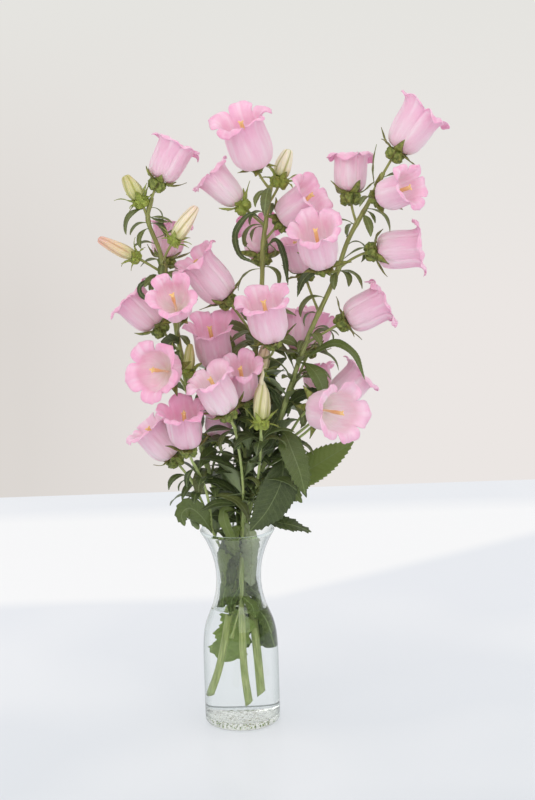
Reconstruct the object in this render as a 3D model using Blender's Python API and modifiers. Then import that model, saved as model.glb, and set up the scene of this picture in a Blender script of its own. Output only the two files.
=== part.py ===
"""Canterbury bells (Campanula medium) standing in a clear glass carafe of water.

Metres, +Z up, +Y to the back. The origin is the centre of the vase's flat base. Places and lengths in
the tables are millimetres, angles are degrees.

Three thick stems stand in the water. Each carries thin side branches, and every flower sits on a
pedicel that ends in a small green cup, the calyx. Stem, branches, pedicels and calyx cups grew as one,
so they are united in one solid a stem. Corollas, buds and leaves are pieces of their own.
"""

import math

import bmesh
import bpy
from mathutils import Matrix, Vector

MM = 0.001
GAP = 0.3                     # clearance left between two pieces that touch

# The vase: its outer outline as (radius, height) from the rim down to the foot.
VASE_OUTLINE = [(40, 217), (36.5, 211), (33, 204), (28.5, 192), (25.5, 179), (24.4, 164), (25.4, 150),
                (28.4, 136.5), (32.3, 126), (36.6, 115), (39.2, 104), (40.4, 92), (41, 72), (41, 7)]
FOOT_ROUNDING = 7
GLASS = 2.8                   # wall
FLOOR = 12                    # thickness of the solid glass base
FLOOR_FLAT = 31               # radius of the flat inside floor
WATER_LEVEL = 131
VASE_STEPS = 24

# The main stems from their cut ends up to the topmost flower.
STEM_ROUTES = {
    "stem_right": [(-27, -4, 13), (-18, -3, 70), (-8, -1, 125), (-2, 0, 168), (8, 0, 215), (22, -1, 268),
                   (42, -2, 316), (61, 0, 373), (82, 4, 429), (111, 5, 490), (127, 5, 533), (149, 3, 572),
                   (165, 1, 604)],
    "stem_middle": [(3, -12, 12.8), (2, -11, 70), (2, -10, 130), (3, -9, 168), (6, -7, 215), (8, -3, 251),
                    (12, 5, 304), (18, 11, 359), (27, 15, 424), (34, 15, 485), (36, 15, 525),
                    (41, 14, 558), (46, 10, 592)],
    "stem_left": [(16, 6, 13), (12, 7, 80), (9, 8, 130), (6, 8, 168), (-4, 8, 205), (-16, 6, 240),
                  (-32, 6, 295), (-45, 8, 351), (-57, 5, 433), (-65, 5, 489), (-73, 5, 526), (-84, 3, 560),
                  (-79, 1, 584)],
}
STEM_RADIUS = (3.2, 1.7)      # at the cut end and at the top

# Side branches: the stem they grow from, the height where they leave it, and their further points.
BRANCHES = {
    "branch_right": ("stem_right", 285, [(46, 4, 303), (64, 10, 318)]),
    "branch_front": ("stem_middle", 228, [(8, -20, 266), (6, -35, 306), (1, -60, 350)]),
    "branch_bud": ("stem_middle", 240, [(21, -20, 268), (26, -35, 298), (29, -57, 338)]),
    "branch_centre": ("stem_middle", 300, [(0, -6, 335), (-8, -9, 370)]),
    "branch_left": ("stem_left", 150, [(-4, 9, 172), (-14, 3, 190), (-26, -8, 218), (-36, -13, 252),
                                       (-50, -14, 284)]),
    "branch_left_front": ("branch_left", 224, [(-29, -17, 252), (-35, -24, 280), (-43, -42, 304)]),
}
BRANCH_RADIUS = (1.5, 1.2)
PEDICEL_RADIUS = 1.25

# The flowers: stem or branch, height where the pedicel leaves it, seat of the calyx, then the axis as
# tilt from upright and heading from +X towards +Y, the turn of the corolla about that axis, the length
# from seat to mouth and the reach of the five lobes.
BELLS = {
    "bell_right_1": ("stem_right", 597, (177, 0, 623), 37, 14, 0, 57, 33),
    "bell_right_2": ("stem_right", 562, (157, -25, 582), 70, -41, 0, 52, 27),
    "bell_right_3": ("stem_right", 550, (131, 25, 574), 19, 85, 60, 47, 25),
    "bell_right_4": ("stem_right", 502, (151, 0, 520), 86, 0, 42, 53, 29),
    "bell_right_5": ("stem_right", 421, (118, 0, 444), 63, 3, 48, 53, 29),
    "bell_right_6": ("branch_right", 310, (84, -45, 344), 64, -58, 0, 56, 34),
    "bell_right_7": ("branch_right", 316, (107, 30, 348), 48, 15, 0, 46, 27),
    "bell_right_8": ("stem_right", 372, (72, 28, 404), 6, 64, 0, 49, 24),
    "bell_right_9": ("stem_right", 358, (83, 58, 400), 31, 42, 0, 43, 24),
    "bell_right_10": ("branch_right", 305, (96, 60, 346), 27, 115, 0, 36, 22),
    "bell_middle_1": ("stem_middle", 588, (33, 0, 611), 22, -132, 6, 63, 33),
    "bell_middle_2": ("stem_middle", 548, (17, 20, 568), 46, 164, 0, 50, 28),
    "bell_middle_3": ("stem_middle", 530, (56, 20, 550), 50, -30, 0, 54, 29),
    "bell_middle_4": ("stem_right", 500, (99, -25, 510), 36, -106, 0, 58, 30),
    "bell_middle_5": ("stem_right", 455, (81, 40, 487), 14, -167, 0, 42, 24),
    "bell_middle_6": ("stem_middle", 480, (36, 35, 507), 50, 97, 0, 47, 26),
    "bell_middle_7": ("stem_middle", 405, (44, -45, 435), 23, -114, 0, 57, 30),
    "bell_left_1": ("stem_left", 576, (-73, 0, 598), 32, 23, 0, 48, 28),
    "bell_left_2": ("stem_left", 478, (-55, 42, 506), 9, 49, 0, 43, 24),
    "bell_left_3": ("stem_middle", 424, (-2, -5, 472), 37, -179, 24, 60, 30),
    "bell_left_4": ("stem_left", 436, (-55, -45, 470), 50, -97, 0, 42, 28),
    "bell_left_5": ("stem_left", 412, (-75, 10, 440), 44, 168, 6, 49, 28),
    "bell_left_6": ("stem_left", 352, (-70, -40, 396), 64, -108, 0, 40, 33),
    "bell_left_7": ("branch_left_front", 300, (-48, -55, 324), 18, -107, 60, 50, 27),
    "bell_left_8": ("branch_left", 280, (-64, -10, 300), 37, -174, 60, 50, 28),
    "bell_centre_1": ("branch_centre", 366, (-16, 12, 395), 34, -100, 0, 58, 28),
    "bell_centre_2": ("branch_front", 346, (-5, -70, 365), 34, -131, 60, 54, 29),
    "bell_centre_3": ("stem_middle", 335, (16, -28, 364), 4, -172, 0, 51, 25),
    "bell_centre_4": ("stem_middle", 370, (0, 50, 400), 34, 100, 0, 44, 26),
    "bell_centre_5": ("stem_left", 290, (-19, 14, 316), 17, -70, 0, 35, 21),
}
# Buds take the same columns, with the widest radius in the place of the reach of the lobes.
BUDS = {
    "bud_middle_1": ("stem_middle", 572, (56, 25, 595), 17, 28, 0, 33, 6.5),
    "bud_left_1": ("stem_left", 560, (-90, 0, 579), 28, 166, 0, 34, 7),
    "bud_left_2": ("stem_left", 513, (-54, -25, 550), 38, 8, 0, 39, 6.5),
    "bud_left_3": ("stem_left", 500, (-96, 0, 520), 60, 178, 0, 47, 6.5),
    "bud_left_4": ("stem_left", 366, (-46, -12, 395), 6, -60, 0, 35, 6),
    "bud_front_1": ("branch_bud", 334, (29, -60, 350), 10, 72, 0, 57, 8),
    "bud_centre_1": ("stem_middle", 366, (37, 4, 387), 3, 40, 0, 35, 6),
}
CUP_HEIGHT = 6.2
CUP_RADIUS = (5.0, 8.5)       # just above the pedicel and at the top
CUP_START = 1.2
PETAL = 1.0                   # wall of a corolla
# Corolla sections as (share of the length, radius); the last one is the notch between two lobes.
BELL_SECTIONS = [(0.36, 19.5), (0.72, 21.0)]
BELL_BASE_RADIUS = 8.0
BELL_NOTCH = (0.84, 23.0)
# Bud sections as (share of the length, share of the widest radius).
BUD_SECTIONS = [(0.42, 1.0), (0.75, 0.72), (1.0, 0.16)]
RIBS = 5

# The larger leaves: stem, height where they leave it, further points, full width, and the direction
# that the upper face looks.
LEAVES = {
    "leaf_right_low": ("stem_right", 262, [(52, 6, 268), (78, 8, 280), (104, 6, 296), (128, 2, 312)],
                       32, (0.2, -0.8, 0.5)),
    "leaf_front_right": ("stem_right", 326, [(54, -26, 330), (61, -40, 316), (69, -46, 293), (74, -45, 268)],
                         24, (0.1, -1, 0.2)),
    "leaf_front_large": ("stem_right", 298, [(50, -22, 300), (49, -32, 280), (34, -35, 250), (14, -31, 225)],
                         38, (0.2, -1, 0.1)),
    "leaf_back_right": ("stem_right", 252, [(38, -16, 266), (57, -16, 268), (71, -14, 250)],
                        22, (0.3, -0.7, 0.7)),
    "leaf_rim_right": ("stem_right", 236, [(28, -14, 238), (44, -20, 231), (62, -22, 227), (80, -20, 219)],
                       17, (0, -0.5, 1)),
    "leaf_rim_left": ("branch_left", 216, [(-38, -20, 236), (-50, -22, 246), (-60, -22, 240), (-57, -22, 224)],
                      28, (-0.2, -1, 0.4)),
    "leaf_arch_left": ("branch_front", 250, [(-6, -28, 256), (-22, -32, 257), (-40, -30, 248)],
                       12, (0, -0.5, 1)),
    "leaf_over_rim": ("stem_middle", 236, [(-6, -14, 245), (-14, -20, 244), (-10, -24, 228), (0, -22, 206)],
                      14, (-0.3, -1, 0)),
    "leaf_in_neck": ("stem_middle", 226, [(16, -14, 214), (16, -13, 195), (14, -9, 172)],
                     20, (0.8, -0.6, 0)),
    "leaf_in_water_right": ("stem_left", 128, [(18, 4, 122), (26, 0, 104), (29, -4, 84)],
                            20, (0.2, -1, 0.1)),
    "leaf_in_water_middle": ("stem_right", 112, [(-12, -10, 104), (-9, -15, 86), (-6, -17, 66)],
                             18, (-0.1, -1, 0.1)),
    "leaf_arch_right": ("stem_right", 404, [(99, -5, 420), (115, -9, 423), (131, -11, 410), (141, -11, 384)],
                        12, (0.5, -0.5, 0.8)),
    "leaf_middle_drop": ("stem_middle", 522, [(50, 9, 534), (58, 4, 518), (62, 2, 486)],
                         9, (0.8, -0.7, 0.4)),
    "leaf_middle_curl": ("stem_middle", 552, [(24, 2, 564), (8, -4, 545), (12, -6, 522), (27, -4, 513)],
                         6, (-0.6, -0.7, 0.3)),
    "leaf_right_drop": ("stem_right", 494, [(92, -6, 503), (78, -10, 494), (71, -11, 476)],
                        11, (-0.5, -0.7, 0.5)),
    "leaf_left_curl": ("stem_left", 500, [(-92, -8, 494), (-94, -12, 484), (-80, -12, 472)],
                       6, (-0.6, -0.7, 0.3)),
    "leaf_left_dark": ("stem_left", 425, [(-60, -6, 430), (-66, -13, 429), (-69, -15, 416)],
                       16, (-0.2, -1, 0.2)),
}
LEAF_THICKNESS = 0.8
STALK_GAP = 0.9               # from the stem's surface to the middle of a leaf's base
LEAF_KEEL = 0.12              # depth of the fold along the midrib, as a share of the width
# Leaf outline as (share of the length, share of the half width).
LEAF_OUTLINE = [(0, 0.10), (0.16, 0.24), (0.38, 0.9), (0.6, 1.0), (0.82, 0.62), (1.0, 0.04)]

COLOURS = {                   # linear RGB and roughness
    "glass": ((0.90, 0.95, 0.94), 0.03),
    "water": ((0.86, 0.93, 0.92), 0.02),
    "stem": ((0.16, 0.27, 0.06), 0.50),
    "leaf": ((0.06, 0.13, 0.03), 0.50),
    "petal": ((0.82, 0.38, 0.60), 0.55),
    "bud": ((0.72, 0.62, 0.30), 0.55),
}


def clear_scene():
    for obj in list(bpy.data.objects):
        bpy.data.objects.remove(obj, do_unlink=True)


def make_collection(name):
    collection = bpy.data.collections.new(name)
    bpy.context.scene.collection.children.link(collection)
    return collection


def make_material(name, kind):
    colour, roughness = COLOURS[kind]
    material = bpy.data.materials.new(name)
    material.use_nodes = True
    shader = material.node_tree.nodes["Principled BSDF"]
    shader.inputs["Base Color"].default_value = (*colour, 1.0)
    shader.inputs["Roughness"].default_value = roughness
    shader.inputs["Metallic"].default_value = 0.0
    if kind in ("glass", "water"):
        shader.inputs["Transmission Weight"].default_value = 1.0
    material.diffuse_color = (*colour, 1.0)
    return material


def add_object(name, data, kind):
    obj = bpy.data.objects.new(name, data)
    PARTS.objects.link(obj)
    data.materials.append(make_material(name, kind))
    return obj


def hide_cutter(obj):
    """Keep a helper solid out of the model: it only serves a Boolean."""
    for collection in list(obj.users_collection):
        collection.objects.unlink(obj)
    CUTTERS.objects.link(obj)
    obj.hide_render = True
    obj.display_type = "WIRE"
    return obj


def boolean(target, other, operation):
    modifier = target.modifiers.new(f"{operation}_{other.name}", "BOOLEAN")
    modifier.operation = operation
    modifier.solver = "EXACT"
    modifier.object = other


def smooth_route(points, steps):
    """Catmull-Rom curve through the points, with the given number of steps between two of them."""
    knots = [Vector(p) for p in points]
    ends = [2 * knots[0] - knots[1]] + knots + [2 * knots[-1] - knots[-2]]
    route = []
    for a, b, c, d in zip(ends, ends[1:], ends[2:], ends[3:]):
        for i in range(steps):
            t = i / steps
            route.append(0.5 * (2 * b + (c - a) * t + (2 * a - 5 * b + 4 * c - d) * t ** 2
                                + (3 * b - a - 3 * c + d) * t ** 3))
    return route + [knots[-1]]


def at_height(route, height):
    """The point of a rising route at a height, and the direction that the route runs there."""
    for low, high in zip(route, route[1:]):
        if low.z <= height <= high.z:
            return low.lerp(high, (height - low.z) / (high.z - low.z)), (high - low).normalized()
    return route[-1], (route[-1] - route[-2]).normalized()


def tapered(count, ends):
    """Radii that run evenly from the first to the last value."""
    return [ends[0] + (ends[1] - ends[0]) * i / (count - 1) for i in range(count)]


def tube(name, route, radii, sides):
    """A closed mesh tube along a route. Sides is 4, 6 or 8."""
    curve = bpy.data.curves.new(name, "CURVE")
    curve.dimensions = "3D"
    curve.bevel_depth = MM
    curve.bevel_resolution = sides // 2 - 2
    curve.use_fill_caps = True
    spline = curve.splines.new("POLY")
    spline.points.add(len(route) - 1)
    for point, place, radius in zip(spline.points, route, radii):
        point.co = (*(place * MM), 1)
        point.radius = radius
    drawn = bpy.data.objects.new(name + "_curve", curve)
    PARTS.objects.link(drawn)
    depsgraph = bpy.context.evaluated_depsgraph_get()
    mesh = bpy.data.meshes.new_from_object(drawn.evaluated_get(depsgraph))
    bpy.data.objects.remove(drawn, do_unlink=True)
    weld(mesh)
    mesh.name = name
    mesh.materials.clear()
    return mesh


def weld(mesh):
    bm = bmesh.new()
    bm.from_mesh(mesh)
    bmesh.ops.remove_doubles(bm, verts=bm.verts, dist=1e-6)
    bmesh.ops.recalc_face_normals(bm, faces=bm.faces)
    bm.to_mesh(mesh)
    bm.free()


def shade(obj):
    obj.data.shade_smooth()
    obj.data.set_sharp_from_angle(angle=math.radians(40))


# ---------------------------------------------------------------------------------- vase and water

def inner_outline():
    """The inside wall, a glass thickness in from the outline, from the rim down to the floor."""
    outline = [Vector((r, 0, z)) for r, z in VASE_OUTLINE]
    inner = []
    for before, point, after in zip(outline[:1] + outline, outline, outline[1:] + outline[-1:]):
        along = (after - before).normalized()
        inner.append(point + GLASS * Vector((along.z, 0, -along.x)))
    return [p for p in inner if p.z > FLOOR + 8]


def turned(name, profile, kind):
    """A solid of revolution about Z. The profile runs down its outer side, from axis to axis."""
    mesh = bpy.data.meshes.new(name)
    edges = [(i, i + 1) for i in range(len(profile) - 1)]
    mesh.from_pydata([p * MM for p in profile], edges, [])
    obj = add_object(name, mesh, kind)
    screw = obj.modifiers.new("turn", "SCREW")
    screw.steps = VASE_STEPS
    screw.render_steps = VASE_STEPS
    screw.use_merge_vertices = True
    screw.merge_threshold = 1e-5
    screw.use_smooth_shade = True
    return obj


def make_vase():
    outer = [Vector((r, 0, z)) for r, z in VASE_OUTLINE]
    inner = list(reversed(inner_outline()))
    foot = outer[-1]
    arc = [Vector((foot.x - FOOT_ROUNDING * (1 - math.cos(a)), 0, FOOT_ROUNDING * (1 - math.sin(a))))
           for a in (math.radians(30), math.radians(60), math.radians(90))]
    floor = [Vector((0, 0, FLOOR)), Vector((FLOOR_FLAT, 0, FLOOR)), Vector((inner[0].x - 1.6, 0, FLOOR + 3.5))]
    return turned("vase", floor + inner + outer + arc + [Vector((0, 0, 0))], "glass")


def make_water():
    wall = [p - Vector((GAP, 0, 0)) for p in inner_outline() if p.z < WATER_LEVEL - 2]
    top = at_height(list(reversed(inner_outline())), WATER_LEVEL)[0] - Vector((GAP, 0, 0))
    floor = [Vector((wall[-1].x - 1.6, 0, FLOOR + 3.5 + GAP)), Vector((FLOOR_FLAT, 0, FLOOR + GAP)),
             Vector((0, 0, FLOOR + GAP))]
    return turned("water", [Vector((0, 0, WATER_LEVEL)), top] + wall + floor, "water")


# ----------------------------------------------------------------------------------------- flowers

def flower_frame(tilt, heading, turn):
    """Rotation that lays +Z along the flower's axis."""
    angles = [math.radians(a) for a in (heading, tilt, turn)]
    return Matrix.Rotation(angles[0], 3, "Z") @ Matrix.Rotation(angles[1], 3, "Y") @ Matrix.Rotation(
        angles[2], 3, "Z")


def pedicel_route(start, seat, axis):
    """A bend that leaves the stem towards the flower and arrives along the flower's axis."""
    reach = 0.35 * (seat - start).length
    corner = seat - axis * max(reach, 6)
    bend = [start.lerp(corner, t).lerp(corner.lerp(seat, t), t) for t in (0, 0.35, 0.7)]
    return bend + [seat, seat + axis * CUP_START, seat + axis * CUP_HEIGHT]


def make_pedicel(name, route, row):
    """A pedicel with its calyx cup, as a helper solid that the stem is united with."""
    start = at_height(route, row[1])[0]
    axis = flower_frame(*row[3:6]) @ Vector((0, 0, 1))
    path = pedicel_route(start, Vector(row[2]), axis)
    radii = [PEDICEL_RADIUS] * 4 + list(CUP_RADIUS)
    obj = bpy.data.objects.new(name, tube(name, path, radii, 6))
    return hide_cutter(obj)


def ring(bm, height, radii):
    """Ten points about the axis; radii gives the two radii and heights, on the lobes and between."""
    points = []
    for i in range(2 * RIBS):
        radius, lift = radii[i % 2]
        angle = math.pi * i / RIBS
        points.append(bm.verts.new(Vector((radius * math.cos(angle), radius * math.sin(angle),
                                           height + lift)) * MM))
    return points


def bridge(bm, rings):
    """Quads between each ring and the next."""
    for low, high in zip(rings, rings[1:]):
        for i in range(2 * RIBS):
            j = (i + 1) % (2 * RIBS)
            bm.faces.new((low[i], low[j], high[j], high[i]))


def place_flower(obj, row):
    obj.location = Vector(row[2]) * MM
    obj.rotation_euler = flower_frame(*row[3:6]).to_euler()
    shade(obj)


def make_bell(name, row):
    """A corolla: a round cup that opens into five lobes turned outwards."""
    length, reach = row[6:8]
    size = reach / 29
    bm = bmesh.new()
    base = ring(bm, CUP_HEIGHT + GAP, [(BELL_BASE_RADIUS * size, 0)] * 2)
    sections = [ring(bm, share * length, [(radius * size, 0)] * 2) for share, radius in BELL_SECTIONS]
    notch_height, notch_radius = BELL_NOTCH[0] * length, BELL_NOTCH[1] * size
    mouth = ring(bm, length, [(reach, 0), (notch_radius, notch_height - length)])
    bridge(bm, [base] + sections + [mouth])
    bm.faces.new(reversed(base))
    mesh = bpy.data.meshes.new(name)
    bm.to_mesh(mesh)
    bm.free()
    obj = add_object(name, mesh, "petal")
    wall = obj.modifiers.new("wall", "SOLIDIFY")
    wall.thickness = PETAL * MM
    wall.offset = -1
    place_flower(obj, row)


def make_bud(name, row):
    """A furled corolla: a spindle with five ribs."""
    length, widest = row[6:8]
    bm = bmesh.new()
    rings = [ring(bm, CUP_HEIGHT + GAP, [(0.7 * widest, 0)] * 2)]
    for share, swell in BUD_SECTIONS:
        rings.append(ring(bm, share * length, [(swell * widest, 0), (0.82 * swell * widest, 0)]))
    bridge(bm, rings)
    bm.faces.new(reversed(rings[0]))
    bm.faces.new(rings[-1])
    mesh = bpy.data.meshes.new(name)
    bm.to_mesh(mesh)
    bm.free()
    place_flower(add_object(name, mesh, "bud"), row)


# ------------------------------------------------------------------------------------------ leaves

def leaf_mesh(name, route, width, face, grow=0):
    """A leaf blade, lofted along its midrib, folded a little along it, and given its thickness."""
    path = smooth_route(route, 4)
    bm = bmesh.new()
    rows = []
    for share, swell in LEAF_OUTLINE:
        i = min(int(share * (len(path) - 1)), len(path) - 2)
        along = (path[i + 1] - path[i]).normalized()
        place = path[i].lerp(path[i + 1], share * (len(path) - 1) - i)
        if share in (0, 1):
            place = place + along * (grow if share else -grow)
        side = along.cross(Vector(face)).normalized()
        up = side.cross(along)
        half = max(0.5 * width * swell, 0.8) + grow
        lift = up * LEAF_KEEL * half
        rows.append([bm.verts.new(p * MM) for p in (place - side * half + lift, place, place + side * half + lift)])
    for low, high in zip(rows, rows[1:]):
        for i in (0, 1):
            bm.faces.new((low[i], low[i + 1], high[i + 1], high[i]))
    mesh = bpy.data.meshes.new(name)
    bm.to_mesh(mesh)
    bm.free()
    return mesh


def thicken(obj, thickness):
    blade = obj.modifiers.new("blade", "SOLIDIFY")
    blade.thickness = thickness * MM
    blade.offset = 0


def make_leaf(name, row, routes):
    """A leaf whose stalk starts a gap away from the stem's surface, on the side that it leaves to."""
    stem, height, points, width, face = row
    centre, along = at_height(routes[stem], height)
    out = Vector(points[0]) - centre
    out = (out - along * out.dot(along)).normalized()
    start = centre + out * (radius_at(stem, routes[stem], centre) + STALK_GAP)
    route = [start] + [Vector(p) for p in points]
    obj = add_object(name, leaf_mesh(name, route, width, face), "leaf")
    thicken(obj, LEAF_THICKNESS)
    shade(obj)
    return route


# ------------------------------------------------------------------------------------------- stems

def all_routes():
    """Smooth routes of the stems and branches, and the stem that each branch belongs to."""
    routes = {name: smooth_route(points, 2) for name, points in STEM_ROUTES.items()}
    owner = {name: name for name in STEM_ROUTES}
    for name, (parent, height, points) in BRANCHES.items():
        start = at_height(routes[parent], height)[0]
        routes[name] = smooth_route([start] + points, 3)
        owner[name] = owner[parent]
    return routes, owner


def radius_at(name, route, place):
    """Radius of a stem or branch near a place."""
    ends = STEM_RADIUS if name in STEM_ROUTES else BRANCH_RADIUS
    nearest = min(range(len(route)), key=lambda i: (route[i] - place).length)
    return ends[0] + (ends[1] - ends[0]) * nearest / (len(route) - 1)


def make_stem(name, routes, owner):
    """A main stem united with its branches, pedicels and calyx cups."""
    route = routes[name]
    stem = add_object(name, tube(name, route, tapered(len(route), STEM_RADIUS), 8), "stem")
    for branch in BRANCHES:
        if owner[branch] == name:
            path = routes[branch]
            mesh = tube(branch, path, tapered(len(path), BRANCH_RADIUS), 6)
            boolean(stem, hide_cutter(bpy.data.objects.new(branch, mesh)), "UNION")
    for flower, row in {**BELLS, **BUDS}.items():
        if owner[row[0]] == name:
            boolean(stem, make_pedicel(f"pedicel_of_{flower}", routes[row[0]], row), "UNION")
    shade(stem)


def cut_water(water, routes, leaf_routes):
    """Leave room in the water for the stems and leaves that stand in it."""
    for name in STEM_ROUTES:
        route = [p for p in routes[name] if p.z < WATER_LEVEL + 40]
        foot = route[0] + (route[0] - route[1]).normalized() * 1.5
        radii = [r + GAP for r in tapered(len(routes[name]), STEM_RADIUS)][:len(route)]
        mesh = tube(f"room_for_{name}", [foot] + route[1:], radii, 8)
        boolean(water, hide_cutter(bpy.data.objects.new(mesh.name, mesh)), "DIFFERENCE")
    for name, route in leaf_routes.items():
        if "water" in name:
            width, face = LEAVES[name][3:5]
            mesh = leaf_mesh(f"room_for_{name}", route, width, face, grow=GAP + 0.1)
            room = hide_cutter(bpy.data.objects.new(mesh.name, mesh))
            thicken(room, LEAF_THICKNESS + 2 * GAP)
            boolean(water, room, "DIFFERENCE")


def build():
    routes, owner = all_routes()
    make_vase()
    for name in STEM_ROUTES:
        make_stem(name, routes, owner)
    for name, row in BELLS.items():
        make_bell(name, row)
    for name, row in BUDS.items():
        make_bud(name, row)
    leaf_routes = {name: make_leaf(name, row, routes) for name, row in LEAVES.items()}
    cut_water(make_water(), routes, leaf_routes)


clear_scene()
PARTS = make_collection("canterbury_bells_in_vase")
CUTTERS = make_collection("cutters")
build()
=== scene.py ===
# Canterbury bells (Campanula medium) in a clear glass carafe of water, dressed for a studio view.
#
# Lengths in the tables are millimetres and angles are degrees; meshes are made in metres, in the same
# frame as the solids: +Z up, +Y to the back, the origin at the centre of the vase's foot.

import math
from collections import namedtuple

import bmesh
import bpy
import numpy as np
from mathutils import Matrix, Vector


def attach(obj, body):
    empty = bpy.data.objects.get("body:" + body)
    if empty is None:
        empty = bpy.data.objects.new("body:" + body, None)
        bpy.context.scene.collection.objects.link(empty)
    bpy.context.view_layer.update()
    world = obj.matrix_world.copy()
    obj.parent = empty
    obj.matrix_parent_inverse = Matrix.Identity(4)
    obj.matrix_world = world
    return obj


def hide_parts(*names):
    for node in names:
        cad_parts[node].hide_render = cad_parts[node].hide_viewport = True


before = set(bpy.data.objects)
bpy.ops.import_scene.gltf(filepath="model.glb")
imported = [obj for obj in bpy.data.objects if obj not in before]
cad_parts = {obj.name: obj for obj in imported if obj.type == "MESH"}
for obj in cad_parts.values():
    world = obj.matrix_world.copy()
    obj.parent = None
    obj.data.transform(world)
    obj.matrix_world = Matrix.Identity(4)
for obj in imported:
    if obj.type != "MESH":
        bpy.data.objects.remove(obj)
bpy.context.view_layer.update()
MM = 0.001
TURN = 2 * np.pi

# ------------------------------------------------------------------------------- routes and places

# The vase's outline as (radius, height), from the rim down to the foot.
VASE_OUTLINE = [(40, 217), (36.5, 211), (33, 204), (28.5, 192), (25.5, 179), (24.4, 164), (25.4, 150),
                (28.4, 136.5), (32.3, 126), (36.6, 115), (39.2, 104), (40.4, 92), (41, 72), (41, 7)]
GLASS = 2.8
FLOOR = 8
CORNER = 4.5                    # radius of the rounding between the inner wall and the floor
WATER_LEVEL = 131

STEM_ROUTES = {
    "stem_right": [(-25, 6, 30), (-17, -2, 70), (-8, -1, 125), (-2, 0, 168), (8, 0, 215), (22, -1, 268),
                   (42, -2, 316), (61, 0, 373), (82, 4, 429), (111, 5, 490), (127, 5, 533), (149, 3, 572),
                   (165, 1, 604)],
    "stem_middle": [(5, 2, 21.5), (2, -9, 70), (2, -10, 130), (3, -9, 168), (6, -7, 215), (8, -3, 251),
                    (12, 5, 304), (18, 11, 359), (27, 15, 424), (34, 15, 485), (36, 15, 525),
                    (41, 14, 558), (46, 10, 592)],
    "stem_left": [(14, 8, 30), (12, 7, 80), (9, 8, 130), (6, 8, 168), (-4, 8, 205), (-16, 6, 240),
                  (-32, 6, 295), (-45, 8, 351), (-57, 5, 433), (-65, 5, 489), (-73, 5, 526), (-84, 3, 560),
                  (-79, 1, 584)],
}
STEM_RADIUS = (3.2, 2.3)

# Side branches: the stem they grow from, the height where they leave it, and their further points.
BRANCHES = {
    "branch_right": ("stem_right", 285, [(46, 4, 303), (64, 10, 318)]),
    "branch_front": ("stem_middle", 228, [(8, -20, 266), (6, -35, 306), (1, -60, 350)]),
    "branch_bud": ("stem_middle", 240, [(21, -20, 268), (26, -35, 298), (29, -57, 338)]),
    "branch_centre": ("stem_middle", 300, [(0, -6, 335), (-8, -9, 370)]),
    "branch_left": ("stem_left", 150, [(-4, 9, 172), (-14, 3, 190), (-26, -8, 218), (-36, -13, 252),
                                       (-50, -14, 284)]),
    "branch_left_front": ("branch_left", 224, [(-29, -17, 252), (-35, -24, 280), (-43, -42, 304)]),
}
BRANCH_RADIUS = (1.6, 1.3)

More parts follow.
